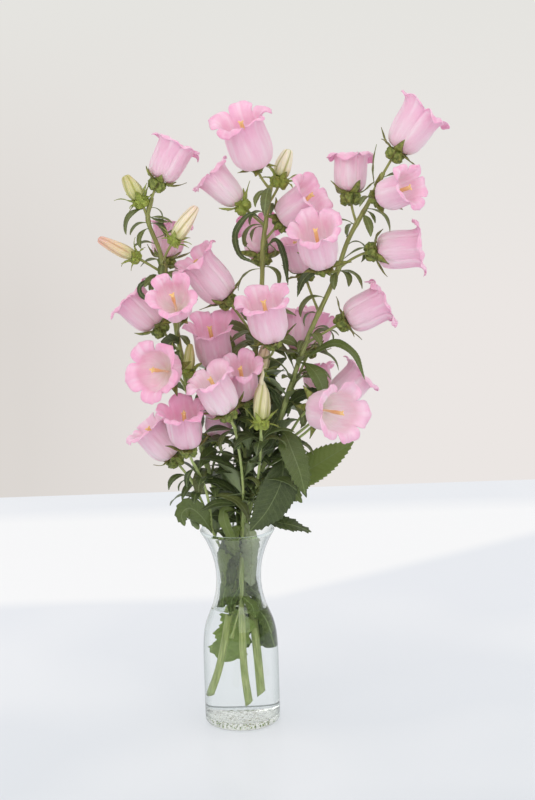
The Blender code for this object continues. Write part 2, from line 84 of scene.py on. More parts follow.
# Flowers: stem or branch, height where the pedicel leaves it, seat of the calyx, tilt from upright,
# heading from +X towards +Y, turn about the axis, length from seat to mouth, reach of the lobes; then
# how far the lobes roll back (1 is usual) and how deep the pink is, from 0 to 1.
BELLS = {
    "bell_right_1": ("stem_right", 597, (177, 0, 623), 37, 14, 0, 57, 33, 1.0, 0.35),
    "bell_right_2": ("stem_right", 562, (157, -25, 582), 70, -41, 0, 49, 25.5, 0.9, 0.4),
    "bell_right_3": ("stem_right", 550, (131, 25, 574), 19, 85, 22, 48, 25.5, 1.65, 0.3),
    "bell_right_4": ("stem_right", 502, (151, 0, 520), 86, 0, 42, 53, 29, 1.15, 0.4),
    "bell_right_5": ("stem_right", 421, (118, 0, 444), 63, 3, 48, 53, 29, 1.25, 0.4),
    "bell_right_6": ("branch_right", 310, (87, -40, 361), 83, -60, 10, 56, 34, 0.9, 0.15),
    "bell_right_7": ("branch_right", 316, (107, 30, 348), 48, 15, 0, 46, 27, 1.0, 0.1),
    "bell_right_8": ("stem_right", 372, (72, 28, 404), 6, 64, 0, 49, 24, 1.0, 0.45),
    "bell_right_9": ("stem_right", 358, (83, 58, 400), 31, 42, 0, 43, 24, 1.0, 0.5),
    "bell_right_10": ("branch_right", 305, (96, 60, 346), 27, 115, 0, 36, 22, 1.0, 0.5),
    "bell_middle_1": ("stem_middle", 588, (33, 0, 611), 22, -132, 6, 63, 33, 0.95, 0.45),
    "bell_middle_2": ("stem_middle", 548, (17, 20, 568), 46, 164, 0, 51, 25.5, 1.25, 0.0),
    "bell_middle_3": ("stem_middle", 530, (56, 20, 550), 50, -30, 0, 54, 29, 1.0, 0.45),
    "bell_middle_4": ("stem_right", 500, (99, -25, 510), 31, -108, 0, 58, 30, 0.85, 0.3),
    "bell_middle_5": ("stem_right", 455, (81, 40, 487), 14, -167, 0, 42, 24, 1.0, 0.5),
    "bell_middle_6": ("stem_middle", 480, (36, 35, 507), 50, 97, 0, 47, 26, 1.0, 0.4),
    "bell_middle_7": ("stem_middle", 405, (44, -45, 435), 23, -114, 0, 57, 30, 0.95, 0.35),
    "bell_left_1": ("stem_left", 576, (-73, 0, 598), 32, 23, 0, 49, 29, 1.15, 0.45),
    "bell_left_2": ("stem_left", 478, (-67, 34, 508), 9, 49, 0, 43, 26, 1.0, 0.4),
    "bell_left_3": ("stem_middle", 424, (-2, -5, 472), 37, -179, 24, 60, 30, 1.0, 0.45),
    "bell_left_4": ("stem_left", 436, (-55, -45, 470), 50, -97, 0, 42, 28, 0.8, 0.55),
    "bell_left_5": ("stem_left", 412, (-75, 10, 440), 44, 168, 6, 49, 28, 1.0, 0.45),
    "bell_left_6": ("stem_left", 352, (-64, -37, 405), 75, -118, 0, 42, 33, 1.0, 0.6),
    "bell_left_7": ("branch_left_front", 300, (-48, -55, 324), 18, -107, 60, 50, 27, 0.9, 0.7),
    "bell_left_8": ("branch_left", 280, (-64, -10, 300), 37, -174, 60, 50, 28, 1.1, 0.15),
    "bell_centre_1": ("branch_centre", 366, (-16, 12, 395), 27, -102, 0, 60, 28, 0.95, 0.65),
    "bell_centre_2": ("branch_front", 346, (-5, -70, 365), 25, -148, 60, 50, 28, 1.05, 0.05),
    "bell_centre_3": ("stem_middle", 335, (13, -22, 368), 32, -98, 20, 53, 22.5, 1.05, 0.45),
    "bell_centre_4": ("stem_middle", 370, (0, 50, 400), 34, 100, 0, 44, 26, 1.0, 0.5),
    "bell_centre_5": ("stem_left", 290, (-19, 14, 316), 17, -70, 0, 35, 21, 1.0, 0.5),
}
# Buds take the same columns as far as the length, then the widest radius and how ripe they are: 0 is
# green, 1 is flushed with orange and pink.
BUDS = {
    "bud_middle_1": ("stem_middle", 572, (56, 25, 593), 17, 28, 0, 36, 9.2, 0.5),
    "bud_left_1": ("stem_left", 560, (-90, 0, 579), 28, 166, 0, 34, 8.8, 0.08),
    "bud_left_2": ("stem_left", 513, (-58, -25, 541), 34, 8, 0, 46, 8.4, 0.66),
    "bud_left_3": ("stem_left", 500, (-96, 0, 520), 60, 178, 0, 47, 7.4, 0.95),
    "bud_left_4": ("stem_left", 366, (-46, -12, 395), 6, -60, 0, 35, 6, 0.0),
    "bud_front_1": ("branch_bud", 334, (29, -60, 350), 10, 72, 0, 47, 9.3, 0.22),
    "bud_centre_1": ("stem_middle", 366, (31, 4, 388), 8, 10, 0, 36, 7.2, 0.85),
}

Bell = namedtuple("Bell", "stem start seat tilt heading turn length reach roll pink")
Bud = namedtuple("Bud", "stem start seat tilt heading turn length widest ripe")
BELLS = {name: Bell(*row) for name, row in BELLS.items()}
BUDS = {name: Bud(*row) for name, row in BUDS.items()}
FLOWERS = {**BELLS, **BUDS}

# Where the seat of a flower differs from its usual size.
SEAT_SIZE = {"bell_middle_1": 0.66, "bell_right_3": 1.1, "bud_middle_1": 0.98, "bud_left_1": 0.9,
             "bud_front_1": 0.86}

# How far the sepals of a flower stand off its axis, where that differs.
SEPAL_SPREAD = {"bell_right_6": 80, "bell_left_6": 80, "bell_right_3": 36, "bell_middle_1": 74,
                "bell_left_1": 66, "bell_middle_3": 50}

# The larger leaves: stem, height where they leave it, further points, full width, the direction that
# the upper face looks, and how much the blade waves.
LEAVES = {
    "leaf_right_low": ("stem_right", 262, [(52, 6, 268), (78, 8, 280), (104, 6, 296), (128, 2, 312)],
                       32, (0.2, -0.8, 0.5), 0.10),
    "leaf_front_right": ("stem_right", 326, [(54, -26, 330), (61, -40, 316), (69, -46, 293), (74, -45, 268)],
                         24, (0.1, -1, 0.2), 0.06),
    "leaf_front_large": ("stem_right", 298, [(50, -22, 300), (49, -32, 280), (34, -35, 250), (14, -31, 225)],
                         38, (0.2, -1, 0.1), 0.05),
    "leaf_back_right": ("stem_right", 252, [(38, -16, 266), (57, -16, 268), (71, -14, 250)],
                        22, (0.3, -0.7, 0.7), 0.10),
    "leaf_rim_right": ("stem_right", 236, [(28, -14, 238), (44, -20, 231), (62, -22, 227), (80, -20, 219)],
                       17, (0, -0.5, 1), 0.15),
    "leaf_rim_left": ("branch_left", 218, [(-38, -20, 240), (-50, -22, 250), (-59, -22, 243), (-56, -22, 230)],
                      21, (-0.2, -1, 0.4), 0.3),
    "leaf_arch_left": ("branch_front", 250, [(-6, -28, 256), (-22, -32, 257), (-40, -30, 248)],
                       12, (0, -0.5, 1), 0.08),
    "leaf_over_rim": ("stem_middle", 236, [(-6, -14, 245), (-14, -20, 244), (-11, -24, 228), (-3, -22, 208),
                                           (3, -18, 192)], 11.5, (-0.3, -1, 0), 0.35),
    "leaf_in_neck": ("stem_middle", 226, [(14, -18, 214), (15, -18, 196), (14, -15, 177), (12, -13, 158)],
                     30, (0.5, 1, 0), 0.10),
    "leaf_in_water_right": ("stem_left", 136, [(12, 14, 130), (18, 14, 110), (25, 11, 80)],
                            26, (0.2, -1, 0.2), 0.3),
    "leaf_in_water_middle": ("stem_middle", 122, [(0, 2, 115), (-5, 9, 96), (-13, 10, 68)],
                             27, (0.1, 1, -0.2), 0.3),
    "leaf_arch_right": ("stem_right", 404, [(99, -5, 420), (115, -9, 423), (131, -11, 410), (141, -11, 384)],
                        12, (0.5, -0.5, 0.8), 0.06),
    "leaf_middle_drop": ("stem_middle", 522, [(50, 9, 534), (58, 4, 518), (62, 2, 486)],
                         9, (0.8, -0.7, 0.4), 0.06),
    "leaf_middle_curl": ("stem_middle", 552, [(24, 2, 564), (8, -4, 545), (12, -6, 522), (27, -4, 513)],
                         8, (-0.6, -0.7, 0.3), 0.04),
    "leaf_right_drop": ("stem_right", 494, [(92, -6, 503), (78, -10, 494), (71, -11, 476)],
                        11, (-0.5, -0.7, 0.5), 0.06),
    "leaf_left_curl": ("stem_left", 500, [(-92, -8, 494), (-94, -12, 484), (-80, -12, 472)],
                       6, (-0.6, -0.7, 0.3), 0.04),
    "leaf_left_dark": ("stem_left", 425, [(-60, -6, 430), (-66, -13, 429), (-69, -15, 416)],
                       16, (-0.2, -1, 0.2), 0.08),
}
# How light a leaf is, from 0 to 1, where it isn't dark.
LEAF_TONE = {"leaf_in_neck": 0.8, "leaf_right_low": 0.95, "leaf_arch_right": 0.5, "leaf_in_water_right": 0.1,
             "leaf_in_water_middle": 1, "leaf_over_rim": 0.7, "leaf_back_right": 0.5, "leaf_rim_left": 0.35,
             "leaf_front_right": 0.35}

# Leaves bunched in the neck and the waist of the vase, in the same columns as far as the face, then how
# light they are; the lightest are yellow-green.
NECK_LEAVES = [
    ("stem_right", 212, [(-4, -13, 208), (-10, -14, 190), (-9, -12, 160)], 22, (-0.3, -1, 0), 0.2),
    ("stem_right", 204, [(-14, -16, 194), (-18, -13, 178), (-15, -12, 158)], 13, (-0.5, -1, 0.1), 1.0),
    ("stem_middle", 224, [(-2, -16, 220), (-5, -20, 210), (-3, -19, 196)], 14, (-0.3, -1, 0.1), 0.75),
    ("stem_right", 200, [(-8, 2, 194), (-13, 2, 176), (-12, 3, 146)], 21, (-0.6, -1, 0.2), 0.5),
    ("stem_middle", 190, [(10, -3, 184), (15, 2, 166), (14, 4, 140)], 18, (0.5, -1, 0.2), 0.6),
    ("stem_left", 166, [(12, 12, 158), (19, 10, 142), (25, 8, 118)], 18, (0.3, -1, 0.3), 0.1),
    ("stem_right", 168, [(-9, -8, 162), (-15, -10, 152), (-18, -9, 134)], 14, (-0.2, -1, 0.5), 0.3),
    ("stem_middle", 158, [(-2, -14, 152), (-8, -15, 142), (-10, -14, 124)], 10, (0.9, -1, 0.3), 0.2),
    ("stem_left", 156, [(14, 0, 150), (22, -6, 143), (19, -12, 130)], 9, (0.9, -1, 0.4), 0.3),
    ("stem_left", 124, [(4, 14, 118), (-1, 18, 100), (-3, 18, 76)], 20, (0.1, -1, 0.2), 0.5),
    ("stem_left", 126, [(16, 4, 122), (22, 2, 112), (27, 0, 98)], 13, (0.3, -1, 0.4), 0.3),
    ("stem_middle", 146, [(6, -15, 144), (14, -14, 134), (15, -14, 122)], 11, (0.2, -1, 0.6), 0.6),
    ("stem_middle", 162, [(-2, 8, 156), (-7, 13, 142), (-6, 14, 122)], 19, (0.1, -1, 0.2), 0.35),
    ("stem_right", 150, [(-14, 4, 146), (-20, 6, 138), (-23, 6, 124)], 15, (-0.1, -1, 0.4), 0.1),
]
# A bare side twig that shows between the leaves in the neck.
TWIG = [(4, -14, 150), (0, -16, 134), (-4, -15, 116), (-8, -14, 100)]
# Small leaves by stem: height where they leave it, heading from +X towards +Y, rise above the level at
# the start, how far they bend down by the tip, length and width.
SMALL_LEAVES = [
    ("stem_middle", [(590, -100, 20, 108, 46, 8), (588, -15, 20, 110, 28, 6), (548, -165, 40, 185, 46, 6),
                     (562, -160, 50, 150, 28, 5), (502, -170, 12, 100, 38, 3.5), (504, -25, 25, 140, 32, 6),
                     (415, -130, 50, 100, 42, 9), (416, -30, 30, 80, 38, 9), (400, -35, 40, 90, 50, 11),
                     (432, -150, 30, 80, 34, 7), (241, -150, 30, 100, 30, 9)]),
    ("stem_right", [(470, -165, 35, 130, 40, 9), (508, -10, 25, 115, 55, 7), (500, -20, 25, 110, 36, 5),
                    (513, -15, 40, 20, 28, 6.5), (528, 20, 50, 190, 40, 5.5), (548, -170, 50, 120, 48, 7),
                    (567, -10, 5, 95, 38, 7), (565, -35, -10, 70, 18, 3.5), (576, -110, 50, 100, 34, 4.5),
                    (588, 175, 80, -25, 46, 4.2), (600, 10, 20, 20, 28, 5), (460, -5, 45, 100, 38, 4.5),
                    (430, -60, 60, 140, 28, 8), (437, 20, 45, 170, 42, 6), (412, -150, 75, 115, 55, 11),
                    (402, -50, 10, 95, 58, 15), (388, -20, 40, 110, 36, 8), (385, 15, 20, 80, 38, 7),
                    (360, -40, 25, 150, 42, 9), (330, -15, -20, 60, 48, 10), (292, 0, -10, 60, 60, 15)]),
    ("stem_left", [(535, -170, 30, 60, 24, 6.5), (572, -160, 20, 120, 42, 8), (565, -20, -40, -50, 24, 6),
                   (563, -10, 15, 50, 26, 5), (540, -15, 20, -10, 42, 6), (517, 170, 20, 70, 24, 6),
                   (441, 0, 50, -40, 28, 6), (510, 15, 10, 130, 36, 8), (285, -110, 45, 150, 50, 10),
                   (248, 100, 40, 140, 36, 9), (556, -20, 25, 120, 26, 7), (552, -140, 10, 130, 28, 5),
                   (503, -60, 30, 90, 36, 10), (496, -130, 40, 80, 36, 11)]),
    ("stem_middle", [(368, 60, 66, 20, 52, 15), (352, 20, 60, 30, 56, 15)]),
    ("stem_right", [(350, 150, 70, 20, 56, 15), (362, 175, 50, 40, 50, 13)]),
    ("branch_bud", [(330, -15, 65, 85, 42, 6.5), (333, -165, 45, 120, 38, 8), (328, 20, 50, 130, 38, 8),
                    (286, -25, 50, 25, 42, 10)]),
    ("branch_front", [(344, -170, 30, 60, 34, 9), (322, 165, 40, 70, 42, 10), (281, -30, 50, 130, 28, 6),
                      (286, -165, 60, 60, 52, 13)]),
    ("branch_left", [(282, -150, 55, 140, 34, 7), (268, 30, 55, 130, 38, 8), (220, -5, 0, 70, 44, 15),
                     (250, 175, -30, 90, 30, 12)]),
]
# Broad leaves that stand up behind the stems, row by row in the same columns: close above the vase, and
# higher up, where the stems would show gaps between them.
UPRIGHT_LEAVES = [
    ("stem_middle", 228, 95, 66, -10, 66, 20), ("stem_middle", 236, 150, 72, 10, 62, 17),
    ("stem_right", 240, 120, 80, 15, 64, 20), ("stem_left", 232, 60, 74, 10, 60, 17),
    ("stem_middle", 262, 60, 70, 20, 62, 18), ("stem_right", 262, 150, 76, 10, 60, 17),
    ("branch_front", 262, 170, 70, 30, 52, 14), ("branch_bud", 300, 60, 64, 20, 56, 16),
    ("stem_middle", 300, 110, 66, 20, 60, 17), ("stem_right", 318, 170, 66, 40, 54, 15),
    ("stem_middle", 226, 170, 40, 50, 36, 16), ("stem_left", 224, 100, 55, 40, 32, 15),
    ("branch_front", 234, 130, 50, 40, 38, 14), ("stem_middle", 244, -165, 60, 60, 40, 13),
    ("branch_left", 212, 80, 72, 0, 42, 22), ("stem_left", 210, 82, 74, 0, 46, 20),
    ("stem_left", 222, 100, 76, 0, 46, 20), ("stem_middle", 206, 95, 78, 0, 46, 17),
    ("stem_left", 418, -110, 5, 100, 46, 16), ("stem_left", 300, 40, 60, 30, 50, 13),
]
BACK_LEAVES = [
    ("stem_left", 322, 80, 72, 10, 50, 17), ("stem_middle", 322, 130, 68, 10, 52, 18),
    ("stem_right", 322, 90, 74, 5, 54, 18), ("stem_middle", 380, 20, 40, 20, 44, 14),
    ("stem_right", 345, 120, 70, 30, 50, 15),
]
# Where the stems stand close together above the vase they are thick with leaves: stem, lowest and
# highest leaf, and how many there are.
THICKET = [("stem_right", 238, 350, 28), ("stem_middle", 232, 365, 36), ("stem_left", 245, 345, 16),
           ("branch_front", 275, 340, 4), ("branch_bud", 265, 330, 5), ("branch_left", 240, 280, 4),
           ("branch_left_front", 250, 300, 4), ("branch_centre", 306, 366, 9), ("branch_right", 287, 318, 7),
           ("stem_middle", 366, 450, 14), ("stem_right", 345, 430, 17), ("stem_left", 348, 425, 6)]

# ------------------------------------------------------------------------------------- array tools


def unit(v):
    """Each vector divided by its own length."""
    return v / np.maximum(np.linalg.norm(v, axis=-1, keepdims=True), 1e-12)


def step(low, high, x):
    """Smooth step: 3t^2 - 2t^3 of the place of x between low and high."""
    t = np.clip((np.asarray(x, float) - low) / (high - low), 0, 1)
    return t * t * (3 - 2 * t)


def hump(x, width):
    """Bell curve: exp of minus the square of x / width."""
    return np.exp(-(x / width) ** 2)


def catmull(points, steps):
    """Catmull-Rom curve through the points: each stretch is a cubic of its two ends and their two
    neighbours, read at the given number of steps."""
    p = np.array(points, float)
    ends = np.vstack([2 * p[0] - p[1], p, 2 * p[-1] - p[-2]])
    a, b, c, d = (ends[k:len(p) - 1 + k, None] for k in range(4))
    t = (np.arange(steps) / steps)[:, None]
    curve = 0.5 * (2 * b + (c - a) * t + (2 * a - 5 * b + 4 * c - d) * t ** 2
                   + (3 * b - a - 3 * c + d) * t ** 3)
    return np.vstack([curve.reshape(-1, p.shape[1]), p[-1]])


def eased(table, x):
    """Value at x on the smooth curve through a table of (x, value)."""
    curve = catmull(table, 16)
    return np.interp(x, curve[:, 0], curve[:, 1])


def run_along(path):
    """Distance along a path at each of its points."""
    return np.r_[0, np.cumsum(np.linalg.norm(np.diff(path, axis=0), axis=1))]


def spaced(path, count):
    """The path read again at even distances along it."""
    run = run_along(path)
    at = np.linspace(0, run[-1], count)
    return np.stack([np.interp(at, run, path[:, k]) for k in range(3)], 1)


def at_height(path, height):
    """The point of a rising path at a height, and the direction that it runs there."""
    i = int(np.argmax(path[:, 2] >= height)) if path[-1, 2] > height else len(path) - 1
    low, high = path[max(i, 1) - 1], path[max(i, 1)]
    t = np.clip((height - low[2]) / (high[2] - low[2]), 0, 1)
    return low + (high - low) * t, unit(high - low)


def turned_frame(flower):
    """Rotation Rz(heading) Ry(tilt) Rz(turn), which lays +Z along a flower's axis."""
    h, t, s = (math.radians(a) for a in (flower.heading, flower.tilt, flower.turn))
    about_z = [np.array([[math.cos(a), -math.sin(a), 0], [math.sin(a), math.cos(a), 0], [0, 0, 1]])
               for a in (h, s)]
    about_y = np.array([[math.cos(t), 0, math.sin(t)], [0, 1, 0], [-math.sin(t), 0, math.cos(t)]])
    return about_z[0] @ about_y @ about_z[1]


def polar(radius, angle, height):
    """Points at a distance from the axis, an angle round it and a height."""
    return np.stack(np.broadcast_arrays(radius * np.cos(angle), radius * np.sin(angle), height), -1)


# --------------------------------------------------------------------------------------- mesh tools
# A skin is a dictionary: points (n, 3) in mm, faces (m, 4), corner UVs (m, 4, 2), the marks of each
# point, and the material number of each face. Marks: "back" is 1 on the inner or lower side, "tone"
# varies from piece to piece, "rim" rises to 1 at the free edge.

MARKS = ("back", "tone", "rim")


def grid(rows, cols, wrap):
    """Quads of a grid of points, one step round by one step along."""
    r = np.arange(rows - 1)[:, None]
    c = np.arange(cols if wrap else cols - 1)[None]
    a = r * cols + c
    b = r * cols + (c + 1) % cols
    return np.stack([a, b, b + cols, a + cols], -1).reshape(-1, 4)


def grid_uv(across, along):
    """Corner UVs of the same quads; across has one more column than the points where the grid wraps."""
    uv = np.stack(np.broadcast_arrays(across, along), -1)
    corners = [uv[:-1, :-1], uv[:-1, 1:], uv[1:, 1:], uv[1:, :-1]]
    return np.stack(corners, 2).reshape(-1, 4, 2)


def skin(points, across=None, along=None, wrap=True, tone=0.5, rim=0.0):
    """One sheet of a grid of points (rows, cols, 3), its faces looking along round x along."""
    rows, cols = points.shape[:2]
    wide = cols + 1 if wrap else cols
    if across is None:
        across = np.linspace(0, 1, wide)[None] + np.zeros((rows, 1))
    if along is None:
        along = np.linspace(0, 1, rows)[:, None] + np.zeros((1, wide))
    elif wrap and along.shape[1] == cols:
        along = np.concatenate([along, along[:, :1]], 1)
    marks = np.zeros((rows * cols, len(MARKS)))
    for k, mark in ((1, tone), (2, rim)):
        marks[:, k] = np.broadcast_to(mark, (rows, cols)).ravel()
    faces = grid(rows, cols, wrap)
    return {"points": points.reshape(-1, 3), "faces": faces, "uv": grid_uv(across, along),
            "marks": marks, "numbers": np.zeros(len(faces), int)}


def normals(points, wrap):
    """Cross product of the steps round and along the grid."""
    if wrap:
        around = np.roll(points, -1, 1) - np.roll(points, 1, 1)
    else:
        around = np.gradient(points, axis=1)
    return unit(np.cross(around, np.gradient(points, axis=0)))


def shell(points, wall, wrap=False, **looks):
    """Two sheets, the second one a wall thickness below the first, joined along every free edge. Where
    the sheets wrap, their first rows are poles."""
    rows, cols = points.shape[:2]
    below = normals(points, wrap)
    if wrap:
        below[0] = unit(below[1].mean(0))
    upper = skin(points, wrap=wrap, **looks)
    lower = skin(points - below * wall, wrap=wrap, **looks)
    lower["marks"][:, 0] = 1
    lower["faces"] = lower["faces"][:, ::-1]
    lower["uv"] = lower["uv"][:, ::-1]
    place = np.arange(rows * cols).reshape(rows, cols)
    if wrap:
        edges = [np.r_[place[-1], place[-1, 0]]]
    else:
        edges = [place[-1], place[0][::-1], place[:, 0], place[::-1, -1]]
    both = joined([upper, lower])
    first = np.zeros((rows * cols, 2))
    first[upper["faces"].ravel()] = upper["uv"].reshape(-1, 2)
    strips = [np.stack([e[:-1], e[1:], e[1:] + rows * cols, e[:-1] + rows * cols], -1) for e in edges]
    strips = np.concatenate(strips)
    both["faces"] = np.concatenate([both["faces"], strips])
    both["uv"] = np.concatenate([both["uv"], first[strips % (rows * cols)]])
    both["numbers"] = np.concatenate([both["numbers"], np.zeros(len(strips), int)])
    return both


def joined(skins):
    """Several skins as one."""
    shift = np.cumsum([0] + [len(s["points"]) for s in skins[:-1]])
    made = {k: np.concatenate([s[k] for s in skins]) for k in ("points", "uv", "marks", "numbers")}
    made["faces"] = np.concatenate([s["faces"] + n for s, n in zip(skins, shift)])
    return made


def placed(made, flower):
    """The skin of a flower, made along +Z, turned and set down at its seat."""
    made["points"] = made["points"] @ turned_frame(flower).T + np.array(flower.seat, float)
    return made


def link_object(name, data):
    """A new object in the scene, at the origin."""
    obj = bpy.data.objects.new(name, data)
    bpy.context.scene.collection.objects.link(obj)
    return obj


def make_piece(name, made, materials, replaces=()):
    """A mesh object from a skin, which rides on the object's one body."""
    mesh = bpy.data.meshes.new(name)
    faces = made["faces"].astype(np.int32)
    mesh.vertices.add(len(made["points"]))
    mesh.vertices.foreach_set("co", (made["points"] * MM).astype(np.float32).ravel())
    mesh.loops.add(faces.size)
    mesh.loops.foreach_set("vertex_index", faces.ravel())
    mesh.polygons.add(len(faces))
    mesh.polygons.foreach_set("loop_start", np.arange(0, faces.size, 4, dtype=np.int32))
    mesh.polygons.foreach_set("material_index", made["numbers"].astype(np.int32))
    mesh.uv_layers.new(name="across_along").uv.foreach_set("vector", made["uv"].astype(np.float32).ravel())
    for k, mark in enumerate(MARKS):
        layer = mesh.attributes.new(mark, "FLOAT", "POINT")
        layer.data.foreach_set("value", made["marks"][:, k].astype(np.float32))
    mesh.update(calc_edges=True)
    bm = bmesh.new()
    bm.from_mesh(mesh)
    bmesh.ops.remove_doubles(bm, verts=bm.verts, dist=1e-7)
    bm.to_mesh(mesh)
    bm.free()
    mesh.shade_smooth()
    for material in materials:
        mesh.materials.append(material)
    piece = link_object(name, mesh)
    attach(piece, "root")
    if replaces:
        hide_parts(*replaces)


# ------------------------------------------------------------------------------------------ shapes


def tube(path, radii, cols=12, ribs=0, depth=0.0, tone=0.5, slant=0.0):
    """A round profile carried along a path: the path's point plus radius times (cos N + sin B), where
    N and B stand square to the path and the radius may swell into ribs. Both ends close on the axis, and
    the first one may be cut at a slant."""
    along = unit(np.gradient(path, axis=0))
    axes = np.eye(3)
    ref = axes[np.argmin(np.abs(along @ axes).max(0))]
    n = unit(ref - along * (along @ ref)[:, None])
    b = np.cross(along, n)
    phi = TURN * np.arange(cols) / cols
    radii = np.broadcast_to(radii, len(path))
    swollen = radii[:, None] * (1 + depth * np.cos(ribs * phi))
    rings = path[:, None] + swollen[..., None] * (np.cos(phi)[:, None] * n[:, None]
                                                  + np.sin(phi)[:, None] * b[:, None])
    rings[0] += slant * (rings[0] - path[0])[:, :1] * along[0]
    rings = np.concatenate([np.repeat(path[:1, None], cols, 1), rings, np.repeat(path[-1:, None], cols, 1)])
    run = run_along(path)
    run = np.r_[run[0], run, run[-1]][:, None]
    around = np.linspace(0, TURN, cols + 1)[None] * np.mean(radii)
    tone = np.broadcast_to(tone, len(path))
    tone = np.r_[tone[0], tone, tone[-1]][:, None]
    return skin(rings, across=around + 0 * run, along=run + 0 * around, tone=tone)


# A corolla's meridian: share of its run from the middle of the base to the tip of a lobe, and the
# angle between the meridian and the flower's axis.
MERIDIAN = [(0.0, 92), (0.12, 90), (0.20, 74), (0.28, 47), (0.36, 21), (0.46, 5), (0.58, -3), (0.68, -4),
            (0.75, 3), (0.81, 24), (0.87, 56), (0.93, 94), (0.97, 118), (1.0, 138)]
# A young flower opens like a funnel: what is added to those angles, and each flower's share of it.
FUNNEL = [(0.0, 0), (0.11, -12), (0.18, -20), (0.26, -14), (0.34, -3), (0.45, 9), (0.58, 14), (0.69, 14),
          (0.76, 12), (0.82, 6), (0.88, 0), (1.0, 0)]
FLARE = {"bell_middle_2": 0.9, "bell_left_1": 0.4, "bell_right_1": 0.5, "bell_left_8": 0.5, "bell_left_3": -0.1,
         "bell_middle_1": -0.15, "bell_left_5": 0.3, "bell_right_5": 0.2, "bell_right_3": 0.1}
USUAL_FLARE = 0.05
NOTCH = 0.81                    # share of the run where two lobes part
LOBES = 5
PER_LOBE = 18                   # points across a lobe
ALONG = 32                      # points from the base to the rim
BASE = 6.5                      # height of a corolla's base above the flower's seat
USUAL_REACH = 29
TISSUE = 0.7                    # thickness of a corolla


def meridian(share, roll, flare):
    """Radius and height after each share of the run: sums of sine and cosine of the angle, where the
    angle past the body is multiplied by the roll and levels off near 150 degrees, and a flare adds its
    share of the funnel's angles."""
    free, slack = 1.9, 0.75     # radians: as far as this the angle is its own, and this much is left
    middle = 0.5 * (share[1:] + share[:-1])
    angle = eased(MERIDIAN, middle) + flare * eased(FUNNEL, middle)
    angle = np.radians(angle) * (1 + (roll - 1) * step(0.72, 0.86, middle))
    over = np.maximum(angle - free, 0)
    angle = angle - over + slack * np.tanh(over / slack)
    pace = np.diff(share, axis=0)
    start = np.zeros((1,) + share.shape[1:])
    return (np.concatenate([start, np.cumsum(np.sin(angle) * pace, 0)]),
            np.concatenate([start, np.cumsum(np.cos(angle) * pace, 0)]))


def bell_scale(length, reach, flare):
    """How far the meridian is stretched sideways and upward to have this reach and this length."""
    radius, height = meridian(np.linspace(0, 1, 200), np.ones(1), flare)
    return reach / radius.max(), (length - BASE) / height.max()


def corolla(length, reach, roll, tone, seed, flare):
    """A bell as a function of the angle round and the share v of the way to the rim: the run is v times
    the lobe outline, NOTCH + (1 - NOTCH) (1 - t^3.4)^0.62, with t the distance from a lobe's middle;
    the meridian turns outward by its angle table; ridges, folds and slow waves are added to the radius,
    and frills to the free edge, square to it. Lobes differ in width, in how far they roll, and lean aside."""
    rng = np.random.default_rng(seed)
    # points stand closer together at the notches and towards the rim
    q = np.linspace(-1, 1, PER_LOBE, endpoint=False)
    q = np.sign(q) * (1 - (1 - np.abs(q)) ** 1.8)
    phi = (TURN / LOBES) * (np.arange(LOBES)[:, None] + 0.5 * q).ravel()
    side = np.tile(q, LOBES)[None]
    t = np.abs(side)
    v = np.linspace(0, 1, ALONG)[:, None]
    v = v + 0.06 * np.sin(np.pi * v)
    # the rim's outline
    lobe = np.repeat(np.arange(LOBES), PER_LOBE)
    own = rng.uniform(0.68, 1.25, LOBES)[lobe][None]
    lean = rng.uniform(-0.25, 0.25, LOBES)[lobe][None]
    shape = (1 - t ** 3.4) ** 0.62
    outline = NOTCH + (1 - NOTCH) * shape * (1 + 0.1 * (own - 1)) + 0.02 * hump(t, 0.16)
    outline = outline + 0.014 * np.sin(phi * 7 + rng.uniform(0, 6)) * shape
    run = v * outline
    # how far each part of the rim rolls back
    curl = roll * (1 + (own - 1) * (1 - t ** 3)) * (1 + 0.22 * t ** 2 * (1 - t ** 6) + lean * side)
    curl = curl * (1 + 0.09 * np.sin(8 * phi + rng.uniform(0, 6))
                   + 0.02 * np.sin(13 * phi + rng.uniform(0, 6)))
    radius, height = meridian(run, curl, flare)
    wide, tall = bell_scale(length, reach, flare)
    body = step(0.10, 0.30, run)
    free = step(0.68, 0.96, run)
    a = rng.uniform(0, TURN, 8)
    # a five-sided body out of round; midribs, furrows below the notches, pleats and slow dents
    radius = radius * wide * (1 + 0.014 * np.cos(LOBES * phi) * body * (1 - free)
                              + 0.024 * np.sin(2 * phi + a[0]) * body + 0.018 * np.sin(3 * phi + a[1]) * body)
    radius = radius + 0.4 * hump(t, 0.07) * body - 0.5 * hump(1 - t, 0.24) * body
    radius = radius + 0.22 * np.cos(TURN * t * 2.5) * body * (1 - 0.5 * free)
    radius = radius + 0.35 * body * (1 - free) * np.sin(6 * phi + 5 * v + a[5]) * np.sin(9 * v + a[6])
    height = height * tall + 0.6 * free * np.sin(7 * phi + a[2]) * (1 - t ** 4)
    # the whole bell bends a little to one side
    bend = (height / length) ** 2 * rng.uniform(0.5, 2.5)
    turned = phi + 0.11 * np.sin(phi + a[3]) + 0.06 * np.sin(2 * phi + a[7])
    points = polar(radius, turned, height + BASE)
    points = points + polar(bend, a[4], 0)
    frill = 0.6 * np.sin(11 * phi + 3 * v + a[2]) + 0.25 * np.sin(14 * phi - 4 * v + a[5])
    frill = frill * free * (1 - 0.8 * step(0.93, 1.03, run)) * reach / USUAL_REACH
    points = points + normals(points, True) * frill[..., None]
    points[0, :, :2] = 0
    across = np.concatenate([phi, [phi[0] + TURN]]) * LOBES / TURN
    return shell(points, TISSUE, wrap=True, along=run, tone=tone, rim=v + 0 * t,
                 across=across[None] + np.zeros((ALONG, 1)))


